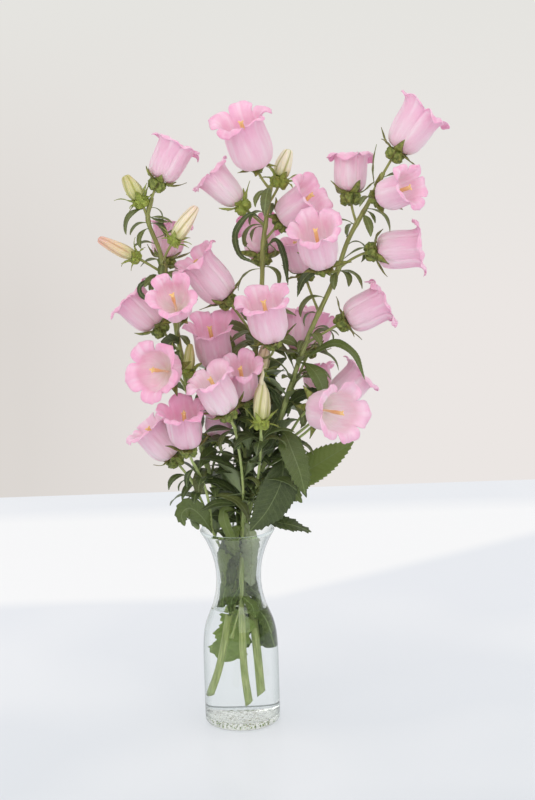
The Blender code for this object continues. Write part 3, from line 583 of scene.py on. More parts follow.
def style(length, seed):
    """The column in the middle of the flower: a tube that thickens towards three short blunt stigmas,
    each a small tube bent outwards."""
    rng = np.random.default_rng(seed)
    top = 0.92 * length
    lean = rng.uniform(-1.5, 1.5, 2)
    z = np.linspace(6, top, 16)
    share = (z - z[0]) / (z[-1] - z[0])
    path = np.stack([lean[0] * share ** 2, lean[1] * share ** 2, z], 1)
    thicker = step(0.45, 0.75, share)
    parts = [tube(path, 1.3 + 0.8 * thicker, 10, tone=0.15 + 0.85 * step(0.2, 0.75, share))]
    t = np.linspace(0, 1, 6)
    for k in range(3):
        angle = TURN * (k / 3) + rng.uniform(0, 1)
        arm = polar(0.5 + 2.6 * t ** 1.5, angle, top - 1.2 + 3.8 * t - 1.6 * t ** 2)
        arm[:, :2] += path[-1, :2]
        parts.append(tube(arm, 1.15 * (1 - 0.35 * t ** 2), 8, tone=1.0))
    return joined(parts)


EAR = [(0, -7.5), (1.8, -7.1), (4.3, -7.9), (7.4, -8.4), (10.1, -6.7), (11.8, -3.2), (11.9, 0.6), (10.2, 4.0),
       (5.5, 6.3), (0, 6.0)]
CLEFT = [(0, -7.5), (1.7, -7.2), (2.7, -6.0), (4.0, -4.4), (5.3, -2.4), (6.6, 0.0), (7.6, 2.4), (7.8, 4.6),
         (4.5, 5.9), (0, 6.0)]


def pod(size, folds, seed):
    """The seat of a flower: at each angle a mix of two outlines of (radius, height), a rounded ear that
    hangs down and a narrow cleft; the share of the ear is the cosine of two and a half times the angle to
    the power 0.65. Each ear has its own size and drop, a crease down its middle, and crumpled waves."""
    rng = np.random.default_rng(seed)
    ear, cleft = catmull(EAR, 3)[:, None], catmull(CLEFT, 3)[:, None]
    phi = TURN * (np.arange(50) / 50)
    bent = phi + 0.10 * np.sin(phi + rng.uniform(0, 6))
    lump = np.abs(np.cos(LOBES / 2 * bent))
    which = np.rint(bent * LOBES / TURN).astype(int) % LOBES
    own = rng.uniform(0.82, 1.16, LOBES)[which]
    drop = rng.uniform(-1.6, 1.0, LOBES)[which]
    share = (lump ** 0.65 * own * (0.55 + folds))[None, :, None]
    outline = cleft + (ear - cleft) * share
    r, z = outline[..., 0], outline[..., 1]
    out = step(3, 8, ear[..., 0])
    crease = hump(1 - lump, 0.05)[None]
    crumple = (0.75 * np.sin(9 * phi + 0.9 * z + rng.uniform(0, 6))
               + 0.85 * np.sin(14 * phi - 0.8 * z) * np.cos(0.9 * z + rng.uniform(0, 6)))
    r = (r - 0.9 * crease * out * step(4, 0, z) + crumple * out) * size
    z = z * size + 6.2 * (1 - size) + drop * lump * out * step(2, -5, z) * size
    # painted highlight: the crowns of the ears are marked lighter; the clefts between them take the brown of
    # the edges, their own colour and painted shade
    return skin(polar(r, phi, z), tone=0.5 * out * lump ** 2 + 0 * z, rim=out * (1 - lump) ** 1.2 + 0 * z)


# Half widths of blades along the midrib, as shares of the widest.
LANCE = [(0, 0.10), (0.06, 0.13), (0.16, 0.26), (0.38, 0.9), (0.55, 1.0), (0.72, 0.84), (0.87, 0.46),
         (1.0, 0.02)]
OVAL = [(0, 0.15), (0.1, 0.4), (0.3, 0.85), (0.5, 1.0), (0.75, 0.9), (0.9, 0.6), (1.0, 0.12)]
SEPAL = [(0, 0.95), (0.15, 1.0), (0.4, 0.80), (0.7, 0.42), (0.9, 0.16), (1.0, 0.03)]
VEINS_APART = 6.5
BLADE_THICKNESS = 0.5


def blade(path, width, face, tooth=0.0, spacing=4.0, ripple=0.0, keel=0.16, outline=LANCE, vein=0.12,
          tone=0.5, cols=11, crumple=0.0, seed=0):
    """A leaf as a function of the place across and the share along its midrib: the midrib's point plus
    sideways times the half width, lifted by the fold along the midrib, by waves that grow to the edge and
    by the bulges between side veins. Teeth widen the edge in saw steps. A crumpled leaf has waves 5 and
    8 mm long all over it and an uneven outline."""
    rng = np.random.default_rng(seed)
    length = run_along(path)[-1]
    teeth = max(3, round(length / spacing))
    path = spaced(path, 3 * teeth + 1)
    s = np.linspace(0, 1, len(path))[:, None]
    along = unit(np.gradient(path, axis=0))
    side = unit(np.cross(along, np.asarray(face, float)))
    up = np.cross(side, along)
    a = np.linspace(-1, 1, cols)[None]
    a = np.sign(a) * np.abs(a) ** 0.9
    half = 0.5 * width * np.maximum(eased(outline, s), 0.03)
    c = rng.uniform(0, TURN, 5)
    half = half * (1 + 0.2 * crumple * (np.sin(9 * s + c[0]) + 0.6 * np.sin(23 * s + c[1])))
    saw = (s * teeth) % 1
    edge = step(0.8, 1.0, np.abs(a))
    inside = step(0.02, 0.2, s) * step(1.0, 0.93, s)
    out = half * a + np.sign(a) * edge * tooth * saw ** 1.4 * inside
    run = s * length
    wave = ripple * half * np.sin(TURN * (run / (2.4 * width)) + rng.uniform(0, 6) + 0.9 * np.sign(a)) * a ** 2
    bulges = np.cos(TURN * (run - 0.8 * np.abs(out)) / VEINS_APART) * np.abs(a) * (1 - np.abs(a)) * 3
    lift = keel * half * np.abs(a) + wave + vein * bulges
    lift = lift + crumple * (np.sin(0.75 * run + 0.5 * out + c[2]) * np.cos(0.65 * out + c[3])
                             + 0.5 * np.sin(1.3 * run - 0.9 * out + c[4]))
    points = (path[:, None] + side[:, None] * out[..., None] + up[:, None] * lift[..., None]
              + along[:, None] * (edge * tooth * 0.7 * saw * inside)[..., None])
    return shell(points, BLADE_THICKNESS, across=out, along=run + 0 * a, tone=tone, rim=np.abs(a) + 0 * s)


def withered_tip(length):
    """What is left of an older flower on a bud: a thin neck that is a tube, and four short arms bent out."""
    z = np.linspace(length - 5, length + 12, 8)
    neck = np.stack([0.9 * np.sin(0.5 * z), 0.5 * np.cos(0.4 * z), z], 1)
    parts = [tube(neck, np.linspace(2.9, 1.5, 8), 8, tone=0.3)]
    t = np.linspace(0, 1, 5)
    for k in range(4):
        arm = neck[-1] + polar(4.6 * t, TURN * (k / 4) + 0.4, 3.4 * t - 1.6 * t ** 2)
        parts.append(tube(arm, 0.9 - 0.3 * t, 6, tone=0.25))
    return parts


def bud(length, widest, ripe, tip=1.0):
    """A furled corolla: radius from an outline along the axis, times five sharp pleats that twist a
    little towards the tip, which is blunt where tip is 1. The mark "back" rises in the grooves."""
    outline = [(0, 0.70), (0.06, 0.85), (0.18, 0.97), (0.33, 1.0), (0.52, 0.93), (0.7, 0.8),
               (0.84, 0.66 * tip ** 0.5), (0.94, 0.52 * tip), (1.0, 0.26 * tip)]
    cols = 70
    s = np.linspace(0, 1, 42)[:, None]
    phi = TURN * np.arange(cols) / cols
    round_pleat = LOBES / 2 * (phi - 0.55 * s ** 1.6)
    pleat = np.abs(np.cos(round_pleat))
    fold = hump(np.sin(round_pleat), 0.16)
    deep = step(0.02, 0.2, s)
    r = widest * eased(outline, s) * (1 - 0.20 * deep * (1 - pleat ** 0.8) + 0.07 * deep * fold)
    points = polar(r * step(1.02, 0.985, s), phi, BASE + (length - BASE) * s)
    points[..., 0] += 1.5 * s ** 2
    points = np.concatenate([np.full((1, cols, 3), (0, 0, BASE)), points])
    points[-1] = points[-1].mean(0)
    along = np.concatenate([s[:1], s])
    # the ridges of the pleats are marked as "rim", for a painted highlight
    made = skin(points, along=along + np.zeros((1, cols)), tone=ripe, rim=np.concatenate([fold[:1], fold]))
    made["marks"][:, 0] = np.concatenate([pleat[:1], (1 - pleat) ** 2 * deep]).ravel()
    return made


def sepals(length, width, spread, seed, start, wall=None, turn=36):
    """Pointed blades round the seat. A free path leaves the pod outwards and bends up by its spread. Where
    a corolla's wall (radius, height) is given, the path is a mix of one that lies along that wall and one
    that stands off it."""
    rng = np.random.default_rng(seed)
    made = []
    t = np.linspace(0, 1, 10)
    for k in range(LOBES):
        own = rng.uniform(0.85, 1.2)
        angle = math.radians(turn + 360 * k / LOBES + rng.uniform(-9, 9))
        slope = math.radians(spread * rng.uniform(0.7, 1.35))
        off, tip = rng.uniform(0.3, 1.0), rng.uniform(0.1, 0.9)
        tilt = slope + tip * t ** 2 + (-0.1 if wall is None else 0.5) * (1 - t)
        pace = length * own / 9
        r = start[0] + np.r_[0, np.cumsum(np.sin(tilt[1:]) * pace)]
        z = start[1] + np.r_[0, np.cumsum(np.cos(tilt[1:]) * pace)]
        if wall is not None:
            run = np.r_[0, np.cumsum(np.hypot(*np.diff(wall, axis=1)))]
            here = np.interp(start[0], wall[0], run) + t * length * own
            r = off * r + (1 - off) * (np.interp(here, run, wall[0]) + 2.3 * step(0, 0.3, t))
            z = off * z + (1 - off) * (np.interp(here, run, wall[1]) - 2.0)
        face = (math.cos(angle) * -0.6, math.sin(angle) * -0.6, 1.0)
        made.append(blade(polar(r, angle, z), width * rng.uniform(0.9, 1.15), face, tooth=0.15, spacing=3,
                          keel=0.25, outline=SEPAL, vein=0.03, tone=0.8, cols=5, ripple=0.25, seed=seed + k))
    return made


# --------------------------------------------------------------------------------------- materials


def linear(text):
    """An sRGB hex value as linear red, green, blue and 1."""
    parts = [int(text[i:i + 2], 16) / 255 for i in (1, 3, 5)]
    return tuple(c / 12.92 if c <= 0.04045 else ((c + 0.055) / 1.055) ** 2.4 for c in parts) + (1.0,)


def node(mat, kind, inputs=None, **settings):
    """Add one node to a material or world: settings are its properties, inputs its sockets, each with a
    value, an sRGB hex value or a link."""
    made = mat.node_tree.nodes.new("ShaderNode" + kind)
    for key, value in settings.items():
        setattr(made, key, value)
    for key, value in (inputs or {}).items():
        if isinstance(value, bpy.types.NodeSocket):
            mat.node_tree.links.new(value, made.inputs[key])
        else:
            made.inputs[key].default_value = linear(value) if isinstance(value, str) else value
    return made


def blend(mat, factor, a, b):
    """Colour socket of a mix of a and b."""
    return node(mat, "Mix", {0: factor, 6: a, 7: b}, data_type="RGBA", blend_type="MIX").outputs[2]


def ramp(mat, value, *stops):
    """Colour socket of a ramp through stops of (place, sRGB hex value)."""
    made = node(mat, "ValToRGB", {0: value})
    elements = made.color_ramp.elements
    while len(elements) < len(stops):
        elements.new(0.5)
    for element, (place, colour) in zip(elements, stops):
        element.position = place
        element.color = linear(colour)
    return made.outputs[0]


def spread(mat, value, low, high, first=0.0, last=1.0, kind="LINEAR"):
    """Socket that runs from first to last as the value runs from low to high."""
    return node(mat, "MapRange", {0: value, 1: low, 2: high, 3: first, 4: last},
                interpolation_type=kind).outputs[0]


def maths(mat, operation, *values):
    """Socket of one calculation."""
    return node(mat, "Math", dict(enumerate(values)), operation=operation).outputs[0]


def noise(mat, vector, scale, detail, **more):
    """Socket of a cloudy noise, from 0 to 1; the scale is in waves per unit of the vector."""
    return node(mat, "TexNoise", {"Vector": vector, "Scale": scale, "Detail": detail, **more}).outputs[0]


def stretched(mat, vector, *scale):
    """The vector with its X, Y and Z scaled."""
    return node(mat, "Mapping", {"Vector": vector, "Scale": scale}).outputs[0]


def mark(mat, name):
    """Socket of one of the marks that a skin's points have."""
    return node(mat, "Attribute", attribute_name=name).outputs["Fac"]


def axis(mat, vector, name):
    """Socket of one part of a vector."""
    return node(mat, "SeparateXYZ", {0: vector}).outputs[name]


def places(mat):
    """The UVs of a piece, and the place in the object in metres."""
    return node(mat, "UVMap", uv_map="across_along").outputs[0], node(mat, "TexCoord").outputs["Object"]


def start_material(name):
    """A material without any node."""
    material = bpy.data.materials.new(name)
    material.use_nodes = True
    material.node_tree.nodes.clear()
    return material


def finish_material(mat, colour, roughness, ior, depth, bump, more=None):
    """A Principled shader straight to the output. The depth that light reaches is given as subsurface
    weight, radius and scale, the bump as height, strength and distance in metres."""
    relief = node(mat, "Bump", dict(zip(("Height", "Strength", "Distance"), bump)))
    under = dict(zip(("Subsurface Weight", "Subsurface Radius", "Subsurface Scale"), depth))
    shader = node(mat, "BsdfPrincipled", {"Base Color": colour, "Roughness": roughness, "IOR": ior, **under,
                                          "Normal": relief.outputs[0], **(more or {})})
    node(mat, "OutputMaterial", {"Surface": shader.outputs[0]})
    return mat


def petal_material():
    """Fresh corolla, grown: thin moist tissue that lets light through. The eye gets a soft, faintly
    velvety pink, paler towards the base, with fine veins that run lengthwise."""
    mat = start_material("petal_tissue")
    uv, place = places(mat)
    rise = axis(mat, uv, "Y")
    tone, back, rim = (mark(mat, name) for name in ("tone", "back", "rim"))
    pale = ramp(mat, rise, (0.0, "#F3E6D2"), (0.18, "#F8E0E1"), (0.45, "#F8DAE3"), (0.72, "#F0C4D3"),
                (1.0, "#E7B4C7"))
    deep = ramp(mat, rise, (0.0, "#F0CDCE"), (0.18, "#EFB3C4"), (0.45, "#EEB2C8"), (0.72, "#E7A6C0"),
                (1.0, "#E09BB8"))
    # inside: darker and yellower towards the base of the hollow, the flower's own colour and painted shade
    pale_inner = ramp(mat, rise, (0.0, "#DEDCB4"), (0.18, "#EFEDE2"), (0.42, "#F9F2F3"), (0.72, "#F5D6DE"),
                      (1.0, "#E9BACC"))
    deep_inner = ramp(mat, rise, (0.0, "#DDC4A2"), (0.18, "#EDCDCD"), (0.46, "#F0BBCB"), (0.74, "#E59BB9"),
                      (1.0, "#DE93B1"))
    inner = blend(mat, tone, pale_inner, deep_inner)
    colour = blend(mat, back, blend(mat, tone, pale, deep), inner)
    # lengthwise veins, about 1 mm apart round the flower
    streak = spread(mat, noise(mat, stretched(mat, uv, 7.0, 1.1, 1.0), 4.0, 3.0, Roughness=0.6), 0.32, 0.68)
    colour = blend(mat, maths(mat, "MULTIPLY", streak, 0.3), colour, "#E7A0B9")
    # soft lighter and darker bands along the flower, 9 mm apart, and slow blotches, 15 mm across
    band = noise(mat, stretched(mat, uv, 3.4, 1.3, 1.0), 1.0, 2.0)
    colour = blend(mat, spread(mat, band, 0.5, 0.68, 0.0, 0.45), colour, "#F8E3E8")
    colour = blend(mat, spread(mat, band, 0.48, 0.32, 0.0, 0.3), colour, "#E09DBA")
    colour = blend(mat, spread(mat, noise(mat, place, 65.0, 2.0), 0.35, 0.7, 0.0, 0.2), colour, "#F5DCDF")
    colour = blend(mat, spread(mat, rim, 0.86, 1.0, 0.0, 0.35), colour, "#E391B1")
    # painted glow: the inner side emits a little of its own colour, standing in for light that comes through
    # the wall into the hollow of the bell
    return finish_material(mat, colour, 0.5, 1.4, (0.8, (1.0, 0.7, 0.85), 0.003), (streak, 0.5, 0.0006),
                           {"Sheen Weight": 0.12, "Emission Color": blend(mat, back, "#000000", inner),
                            "Emission Strength": 0.09})


def style_material():
    """Style and stigma, grown: waxy and cream-coloured, dusted with orange pollen towards the tip."""
    mat = start_material("style_wax")
    grain = noise(mat, places(mat)[1], 900.0, 2.0)
    colour = ramp(mat, mark(mat, "tone"), (0.0, "#F6F0D6"), (0.5, "#F8E4B0"), (1.0, "#F7D08E"))
    colour = blend(mat, spread(mat, grain, 0.45, 0.7, 0.0, 0.4), colour, "#F0B370")
    return finish_material(mat, colour, 0.55, 1.4, (0.3, (1.0, 0.6, 0.3), 0.001), (grain, 0.3, 0.0002))


def leaf_material(name, top, bottom, vein, roughness):
    """Leaf blade, grown: waxy, and paler below, with a pale midrib and side veins about
    6 mm apart that run up to the edge. Each side has a dark, a lighter and its palest colour."""
    mat = start_material(name)
    uv, place = places(mat)
    out = maths(mat, "ABSOLUTE", axis(mat, uv, "X"))
    tone, back = mark(mat, "tone"), mark(mat, "back")
    cloud = spread(mat, noise(mat, place, 110.0, 4.0), 0.3, 0.7)
    upper, lower = (blend(mat, tone, blend(mat, cloud, side[0], side[1]), side[2]) for side in (top, bottom))
    colour = blend(mat, back, upper, lower)
    # small cells between the finest veins, 2 mm wide
    cells = node(mat, "TexVoronoi", {"Vector": place, "Scale": 520.0}, feature="DISTANCE_TO_EDGE").outputs[0]
    colour = blend(mat, spread(mat, cells, 0.0, 0.14, 0.18, 0.0), colour, vein)
    # side veins slant forward and wander by a few millimetres
    slant = maths(mat, "MULTIPLY_ADD", out, -0.8, axis(mat, uv, "Y"))
    slant = maths(mat, "MULTIPLY_ADD", noise(mat, place, 90.0, 1.0), 5.0, slant)
    wave = maths(mat, "COSINE", maths(mat, "MULTIPLY", slant, TURN / VEINS_APART))
    colour = blend(mat, spread(mat, wave, -0.93, -1.0, 0.0, 0.22), colour, vein)
    colour = blend(mat, spread(mat, out, 0.3, 0.65, 0.6, 0.0), colour, vein)
    relief = maths(mat, "MULTIPLY_ADD", wave, 0.45, cells)
    return finish_material(mat, colour, roughness, 1.45, (0.12, (0.6, 1.0, 0.25), 0.0008),
                           (relief, 0.4, 0.0004))


def stem_material():
    """Fresh stem, grown: light green, ridged lengthwise, in lighter and darker streaks along the ridges,
    its own colour and painted highlights, and browner from 330 mm upwards."""
    mat = start_material("stem_rind")
    uv, place = places(mat)
    # lengthwise streaks, lighter and darker: the stem's own colour and painted highlights along its ridges
    streak = spread(mat, noise(mat, stretched(mat, uv, 1.0, 0.06, 1.0), 0.9, 4.0), 0.36, 0.64)
    colour = blend(mat, streak, "#84964C", "#BDC884")
    colour = blend(mat, mark(mat, "tone"), colour, "#B9C887")
    colour = blend(mat, spread(mat, noise(mat, uv, 0.9, 6.0), 0.6, 0.78, 0.0, 0.55), colour, "#6B6A3C")
    aloft = spread(mat, axis(mat, place, "Z"), 0.33, 0.47, 0.0, 0.75)
    colour = blend(mat, aloft, colour, blend(mat, streak, "#706C34", "#A09E58"))
    return finish_material(mat, colour, 0.48, 1.45, (0.15, (0.6, 1.0, 0.2), 0.001), (streak, 0.4, 0.0005))


def calyx_material(name, low, high, edge):
    """Sepals and the swollen seat under the flower, grown: leathery olive green with brown edges. On the
    seat the lighter colour on the crowns of the ears is a painted highlight, and the brown in the clefts
    between them is their own colour and painted shade.
    """
    mat = start_material(name)
    cloud = spread(mat, noise(mat, places(mat)[1], 260.0, 4.0), 0.36, 0.62)
    # the mark "tone" picks the lighter colours: on the seat, a painted highlight on the ears
    colour = blend(mat, mark(mat, "tone"), blend(mat, cloud, *low), blend(mat, cloud, *high))
    colour = blend(mat, spread(mat, mark(mat, "rim"), 0.55, 1.0, 0.0, 0.7), colour, edge)
    return finish_material(mat, colour, 0.5, 1.45, (0.12, (0.6, 1.0, 0.2), 0.0008), (cloud, 0.7, 0.0009))


def bud_material():
    """Furled corolla, grown: greenish cream at the base, flushed with orange and pink towards the tip when
    ripe, greener and darker in the grooves, their own green and painted shade, and paler along the ridges
    of the pleats, a painted highlight."""
    mat = start_material("bud_tissue")
    uv = places(mat)[0]
    rise = axis(mat, uv, "Y")
    tone, back, rim = (mark(mat, name) for name in ("tone", "back", "rim"))
    green = ramp(mat, rise, (0.0, "#A9AE5E"), (0.35, "#C9C684"), (0.7, "#CCC288"), (1.0, "#B9AE6C"))
    cream = ramp(mat, rise, (0.0, "#CFCF8E"), (0.3, "#F8F0D6"), (1.0, "#FAF2DC"))
    ripe = ramp(mat, rise, (0.0, "#C9C48A"), (0.35, "#E6CDA4"), (0.7, "#E9C0A6"), (1.0, "#E3A0A0"))
    late = spread(mat, tone, 0.5, 1.0)
    colour = blend(mat, late, blend(mat, spread(mat, tone, 0.0, 0.5), green, cream), ripe)
    streak = noise(mat, stretched(mat, uv, 34.0, 1.2, 1.0), 1.5, 3.0)
    streak = spread(mat, streak, 0.4, 0.75, 0.0, 0.4)
    colour = blend(mat, streak, colour, "#9C9A56")
    # painted highlight: paler along the ridges of the pleats
    colour = blend(mat, spread(mat, rim, 0.3, 1.0, 0.0, 0.5), colour, "#F0E3BE")
    # greener and darker in the grooves: their own green, and painted shade
    groove = spread(mat, back, 0.15, 0.8, 0.0, 0.75)
    colour = blend(mat, groove, colour, blend(mat, late, "#A3A445", "#C99A78"))
    return finish_material(mat, colour, 0.5, 1.4, (0.3, (1.0, 0.8, 0.4), 0.0018), (streak, 0.3, 0.0004))


def clear_material(name, ior, colour, edge, streaks=None):
    """Clear body that bends light: soda-lime glass or water, polished or still. Seen along its wall it is
    greyer. Where the mark "tone" is set, at the corners of the vase, it is painted dark grey: painted shade
    for the dark lines that bent light makes there. On pressed glass, beige stripes about 4 mm wide are
    painted darker: painted shade for the pattern that its waves make of the light. Lamps
    shine through it, and a ray that has been caught inside it for many turns goes straight on."""
    mat = start_material(name)
    facing = node(mat, "LayerWeight", {"Blend": 0.5}).outputs["Facing"]
    depth = ramp(mat, facing, (0.42, colour), (0.7, edge[0]), (0.9, edge[1]))
    # painted shade: the marked corners turn dark grey
    depth = blend(mat, mark(mat, "tone"), depth, "#666C69")
    # painted shade: darker beige stripes standing in for the light bent by the pressed waves
    if streaks:
        wave = noise(mat, places(mat)[1], 240.0, 3.0, Distortion=1.2)
        depth = blend(mat, spread(mat, wave, 0.44, 0.6), depth, streaks)
    shader = node(mat, "BsdfPrincipled", {"Base Color": depth, "Roughness": 0.0, "IOR": ior,
                                          "Transmission Weight": 1.0})
    through = node(mat, "BsdfTransparent", {"Color": colour})
    path = node(mat, "LightPath").outputs
    caught = maths(mat, "MAXIMUM", maths(mat, "GREATER_THAN", path["Ray Depth"], 8.5),
                   maths(mat, "GREATER_THAN", path["Glossy Depth"], 3.5))
    clear = maths(mat, "MAXIMUM", path["Is Shadow Ray"], caught)
    mix = node(mat, "MixShader", {0: clear, 1: shader.outputs[0], 2: through.outputs[0]})
    node(mat, "OutputMaterial", {"Surface": mix.outputs[0]})
    return mat


PETAL, STYLE = petal_material(), style_material()
LEAF = leaf_material("leaf_blade", ("#333E20", "#434F29", "#75853F"), ("#5C6A42", "#6C794E", "#B8C29C"),
                     "#7C8A58", 0.42)
SMALL_LEAF = leaf_material("bract_blade", ("#454A28", "#5A5F32", "#7F8748"), ("#6A744A", "#7B8557", "#98A26E"),
                           "#8A9560", 0.45)
SOAKED_LEAF = leaf_material("soaked_leaf_blade", ("#1E2E08", "#475E1E", "#7C9040"),
                            ("#4E6426", "#738A3E", "#92A85A"), "#9DB46A", 0.42)
STEM = stem_material()
CALYX = calyx_material("calyx_rind", ("#4C5A24", "#8C9648"), ("#6E7A34", "#9CA452"), "#6A5633")
GREEN_CALYX = calyx_material("young_calyx_rind", ("#84933C", "#A3AE4C"), ("#90A046", "#ADB85C"), "#84873F")
BUD = bud_material()
GLASS_IOR, WATER_IOR = 1.5, 1.333
GLASS_CLEAR = clear_material("soda_lime_glass", GLASS_IOR, "#FBFDFC", ("#C2C9C6", "#4A5350"))
GLASS_PRESSED = clear_material("pressed_glass_foot", GLASS_IOR, "#FFFFFF", ("#E6E4DE", "#8F9490"), "#A69A84")
GLASS_WET = clear_material("glass_against_water", GLASS_IOR / WATER_IOR, "#FEFFFE", ("#EEF1F0", "#98A09C"))
WATER_TOP = clear_material("water_surface", WATER_IOR, "#FDFEFD", ("#F8FAF9", "#E8ECEA"))
WATER_SIDE = clear_material("water_against_glass", 1.0, "#FFFFFF", ("#FFFFFF", "#FFFFFF"))

# -------------------------------------------------------------------------------- vase and water

DISH = (33, 1.7)                # radius and height of the hollow under the foot
FOOT_EDGE = (34.5, 0.3)         # where it meets the rounding of the foot
FOOT_ROUNDING = 5.5
SMOOTH_RIM = (33, 29)           # between these radii the pressed pattern of the foot fades in
DIMPLES = 0.26                  # height of its waves
WATER_GAP = 0.12                # between the water and the glass
LEAF_GAP = 0.7                  # between a leaf in the neck and the glass
HELD_BELOW = 212                # near the rim; above this height the glass holds no leaf
FREE_SHARE = 0.8                # of the inner radius, where a leaf isn't pressed yet


def inner_wall():
    """The inside of the wall: the outline moved in by the thickness of the glass, square to itself."""
    along = unit(np.gradient(OUTER, axis=0))
    wall = OUTER + GLASS * np.stack([-along[:, 1], along[:, 0]], 1)
    return wall[wall[:, 1] > FLOOR + CORNER]


OUTER = catmull(VASE_OUTLINE[::-1], 6)
INNER = inner_wall()


def inside_glass(made):
    """A leaf pressed against the glass: past four fifths of the inner wall's radius, less a gap, the distance
    from the axis levels off as a hyperbolic tangent. Above the rim nothing holds it."""
    x, y, z = made["points"].T
    limit = np.interp(z, INNER[:, 1], INNER[:, 0]) - LEAF_GAP + 3 * np.maximum(z - HELD_BELOW, 0)
    r = np.hypot(x, y)
    past = np.maximum(r / limit - FREE_SHARE, 0) / (1 - FREE_SHARE)
    held = np.where(past > 0, limit * (FREE_SHARE + (1 - FREE_SHARE) * np.tanh(past)), r)
    made["points"][:, :2] *= (held / np.maximum(r, 1e-9))[:, None]
    return made


def arc(centre, radius, start, end, count):
    """Points of a circle in the profile's plane, from one angle to another."""
    a = np.radians(np.linspace(start, end, count))
    return np.stack([centre[0] + radius * np.cos(a), centre[1] + radius * np.sin(a)], 1)


def level(start, end, height, count):
    """Points of a level line in the profile's plane, from one radius to another."""
    return np.stack([np.linspace(start, end, count), np.full(count, float(height))], 1)


def revolve(profile, cols, relief=None, **looks):
    """The profile (radius, height) turned about the axis; relief adds to the height of each point. Also
    the row of the profile that each face starts from."""
    phi = TURN * np.arange(cols) / cols
    points = polar(profile[:, :1], phi, profile[:, 1:])
    if relief is not None:
        points[..., 2] += relief * dimpled(points[..., 0], points[..., 1])
    return skin(points, **looks), np.repeat(np.arange(len(profile) - 1), cols)


def dimpled(x, y):
    """Pressed glass: a sum of seven waves 3 to 6 mm long in different directions, each with its phase."""
    waves = [(1.31, 0.35, 0.3), (-0.62, 1.08, 1.7), (0.93, -0.88, 2.9), (-1.15, -0.55, 4.1), (0.22, 1.45, 5.2),
             (1.7, 1.1, 0.9), (-1.2, 1.75, 3.3)]
    return DIMPLES * sum(np.sin(a * x + b * y + c) for a, b, c in waves)


def make_vase():
    """Outer wall up from the foot, over the round lip, down the inner wall and across the floor. The lower
    corner of the foot and the corner of the floor are marked for painted shade, dark lines that stand in for
    the light that the glass bends away there."""
    inner = INNER[::-1]
    under = level(0, DISH[0], DISH[1], 44)
    foot = arc((OUTER[0, 0] - FOOT_ROUNDING, FOOT_ROUNDING), FOOT_ROUNDING, -90, 0, 9)
    wall = OUTER[OUTER[:, 1] > FOOT_ROUNDING + 2]
    lip = [OUTER[-1] + (0.3, 0.9), OUTER[-1] + (-0.5, 1.6), inner[0] + (1.2, 2.0), inner[0] + (0.3, 0.9)]
    corner = arc((inner[-1][0] - CORNER, FLOOR + CORNER), CORNER, 0, -90, 10)
    floor = level(corner[-1][0], 0, FLOOR, 44)[1:]
    profile = np.vstack([under, [FOOT_EDGE], foot, wall, lip, inner, corner, floor])
    profile[:, 1] = np.maximum(profile[:, 1], 0)
    base, inside = len(under), len(profile) - len(floor)
    wet = inside - len(corner) - int((inner[:, 1] < WATER_LEVEL).sum())
    relief = np.zeros((len(profile), 1))
    relief[:base] = step(*SMOOTH_RIM, under[:, :1])
    relief[inside:] = 0.5 * step(*SMOOTH_RIM, floor[:, :1])
    # painted shade: a dark ring at the corner of the floor, and a fainter one at the lower corner of the foot
    tone = np.zeros((len(profile), 1))
    tone[inside - 5:inside - 2] = 1
    tone[base:base + 4] = 0.7
    made, row = revolve(profile, 160, relief, tone=tone)
    made["numbers"] = (row >= wet) + 2 * (row < base)
    make_piece("carafe", made, [GLASS_CLEAR, GLASS_WET, GLASS_PRESSED], ["vase"])


def make_water():
    """A still surface that climbs the glass by a millimetre at its edge, and the sides and bottom
    against the glass."""
    sides = INNER[INNER[:, 1] < WATER_LEVEL] - (WATER_GAP, 0)
    edge = float(np.interp(WATER_LEVEL, *INNER.T[::-1]))
    corner = arc((sides[0][0] + WATER_GAP - CORNER, FLOOR + CORNER), CORNER - WATER_GAP, -90, 0, 10)
    bottom = level(0, corner[0][0], FLOOR + WATER_GAP, 14)[:-1]
    r = np.linspace(edge - WATER_GAP, 0, 24)
    top = np.stack([r, WATER_LEVEL - 0.9 + 1.1 * np.exp(-(edge - r) / 1.8)], 1)
    made, row = revolve(np.vstack([bottom, corner, sides, top]), 96, tone=0)
    made["numbers"] = (row < len(bottom) + len(corner) + len(sides)).astype(int)
    make_piece("water_filling", made, [WATER_TOP, WATER_SIDE], ["water"])


# --------------------------------------------------------------------------------- stems and leaves

SUNK = 0.4                      # how deep the base of a leaf sits in its stem
GOLDEN_ANGLE = 137.5
WATER_LEAF_BELOW = 175          # a leaf of the neck that starts below this height is soaked


def all_routes():
    """Smooth routes of the stems and branches, the stem each belongs to, and the radii at both ends."""
    routes = {name: catmull(points, 8) for name, points in STEM_ROUTES.items()}
    owner = {name: name for name in STEM_ROUTES}
    radii = {name: STEM_RADIUS for name in STEM_ROUTES}
    for name, (parent, height, points) in BRANCHES.items():
        start = at_height(routes[parent], height)[0]
        routes[name] = catmull([tuple(start)] + points, 8)
        owner[name] = owner[parent]
        radii[name] = BRANCH_RADIUS
    return routes, owner, radii


ROUTES, OWNER, RADII = all_routes()


def radius_at(name, height):
    """Radius of a stem or branch at a height."""
    low, high = ROUTES[name][0, 2], ROUTES[name][-1, 2]
    return float(np.interp(height, (low, high), RADII[name]))


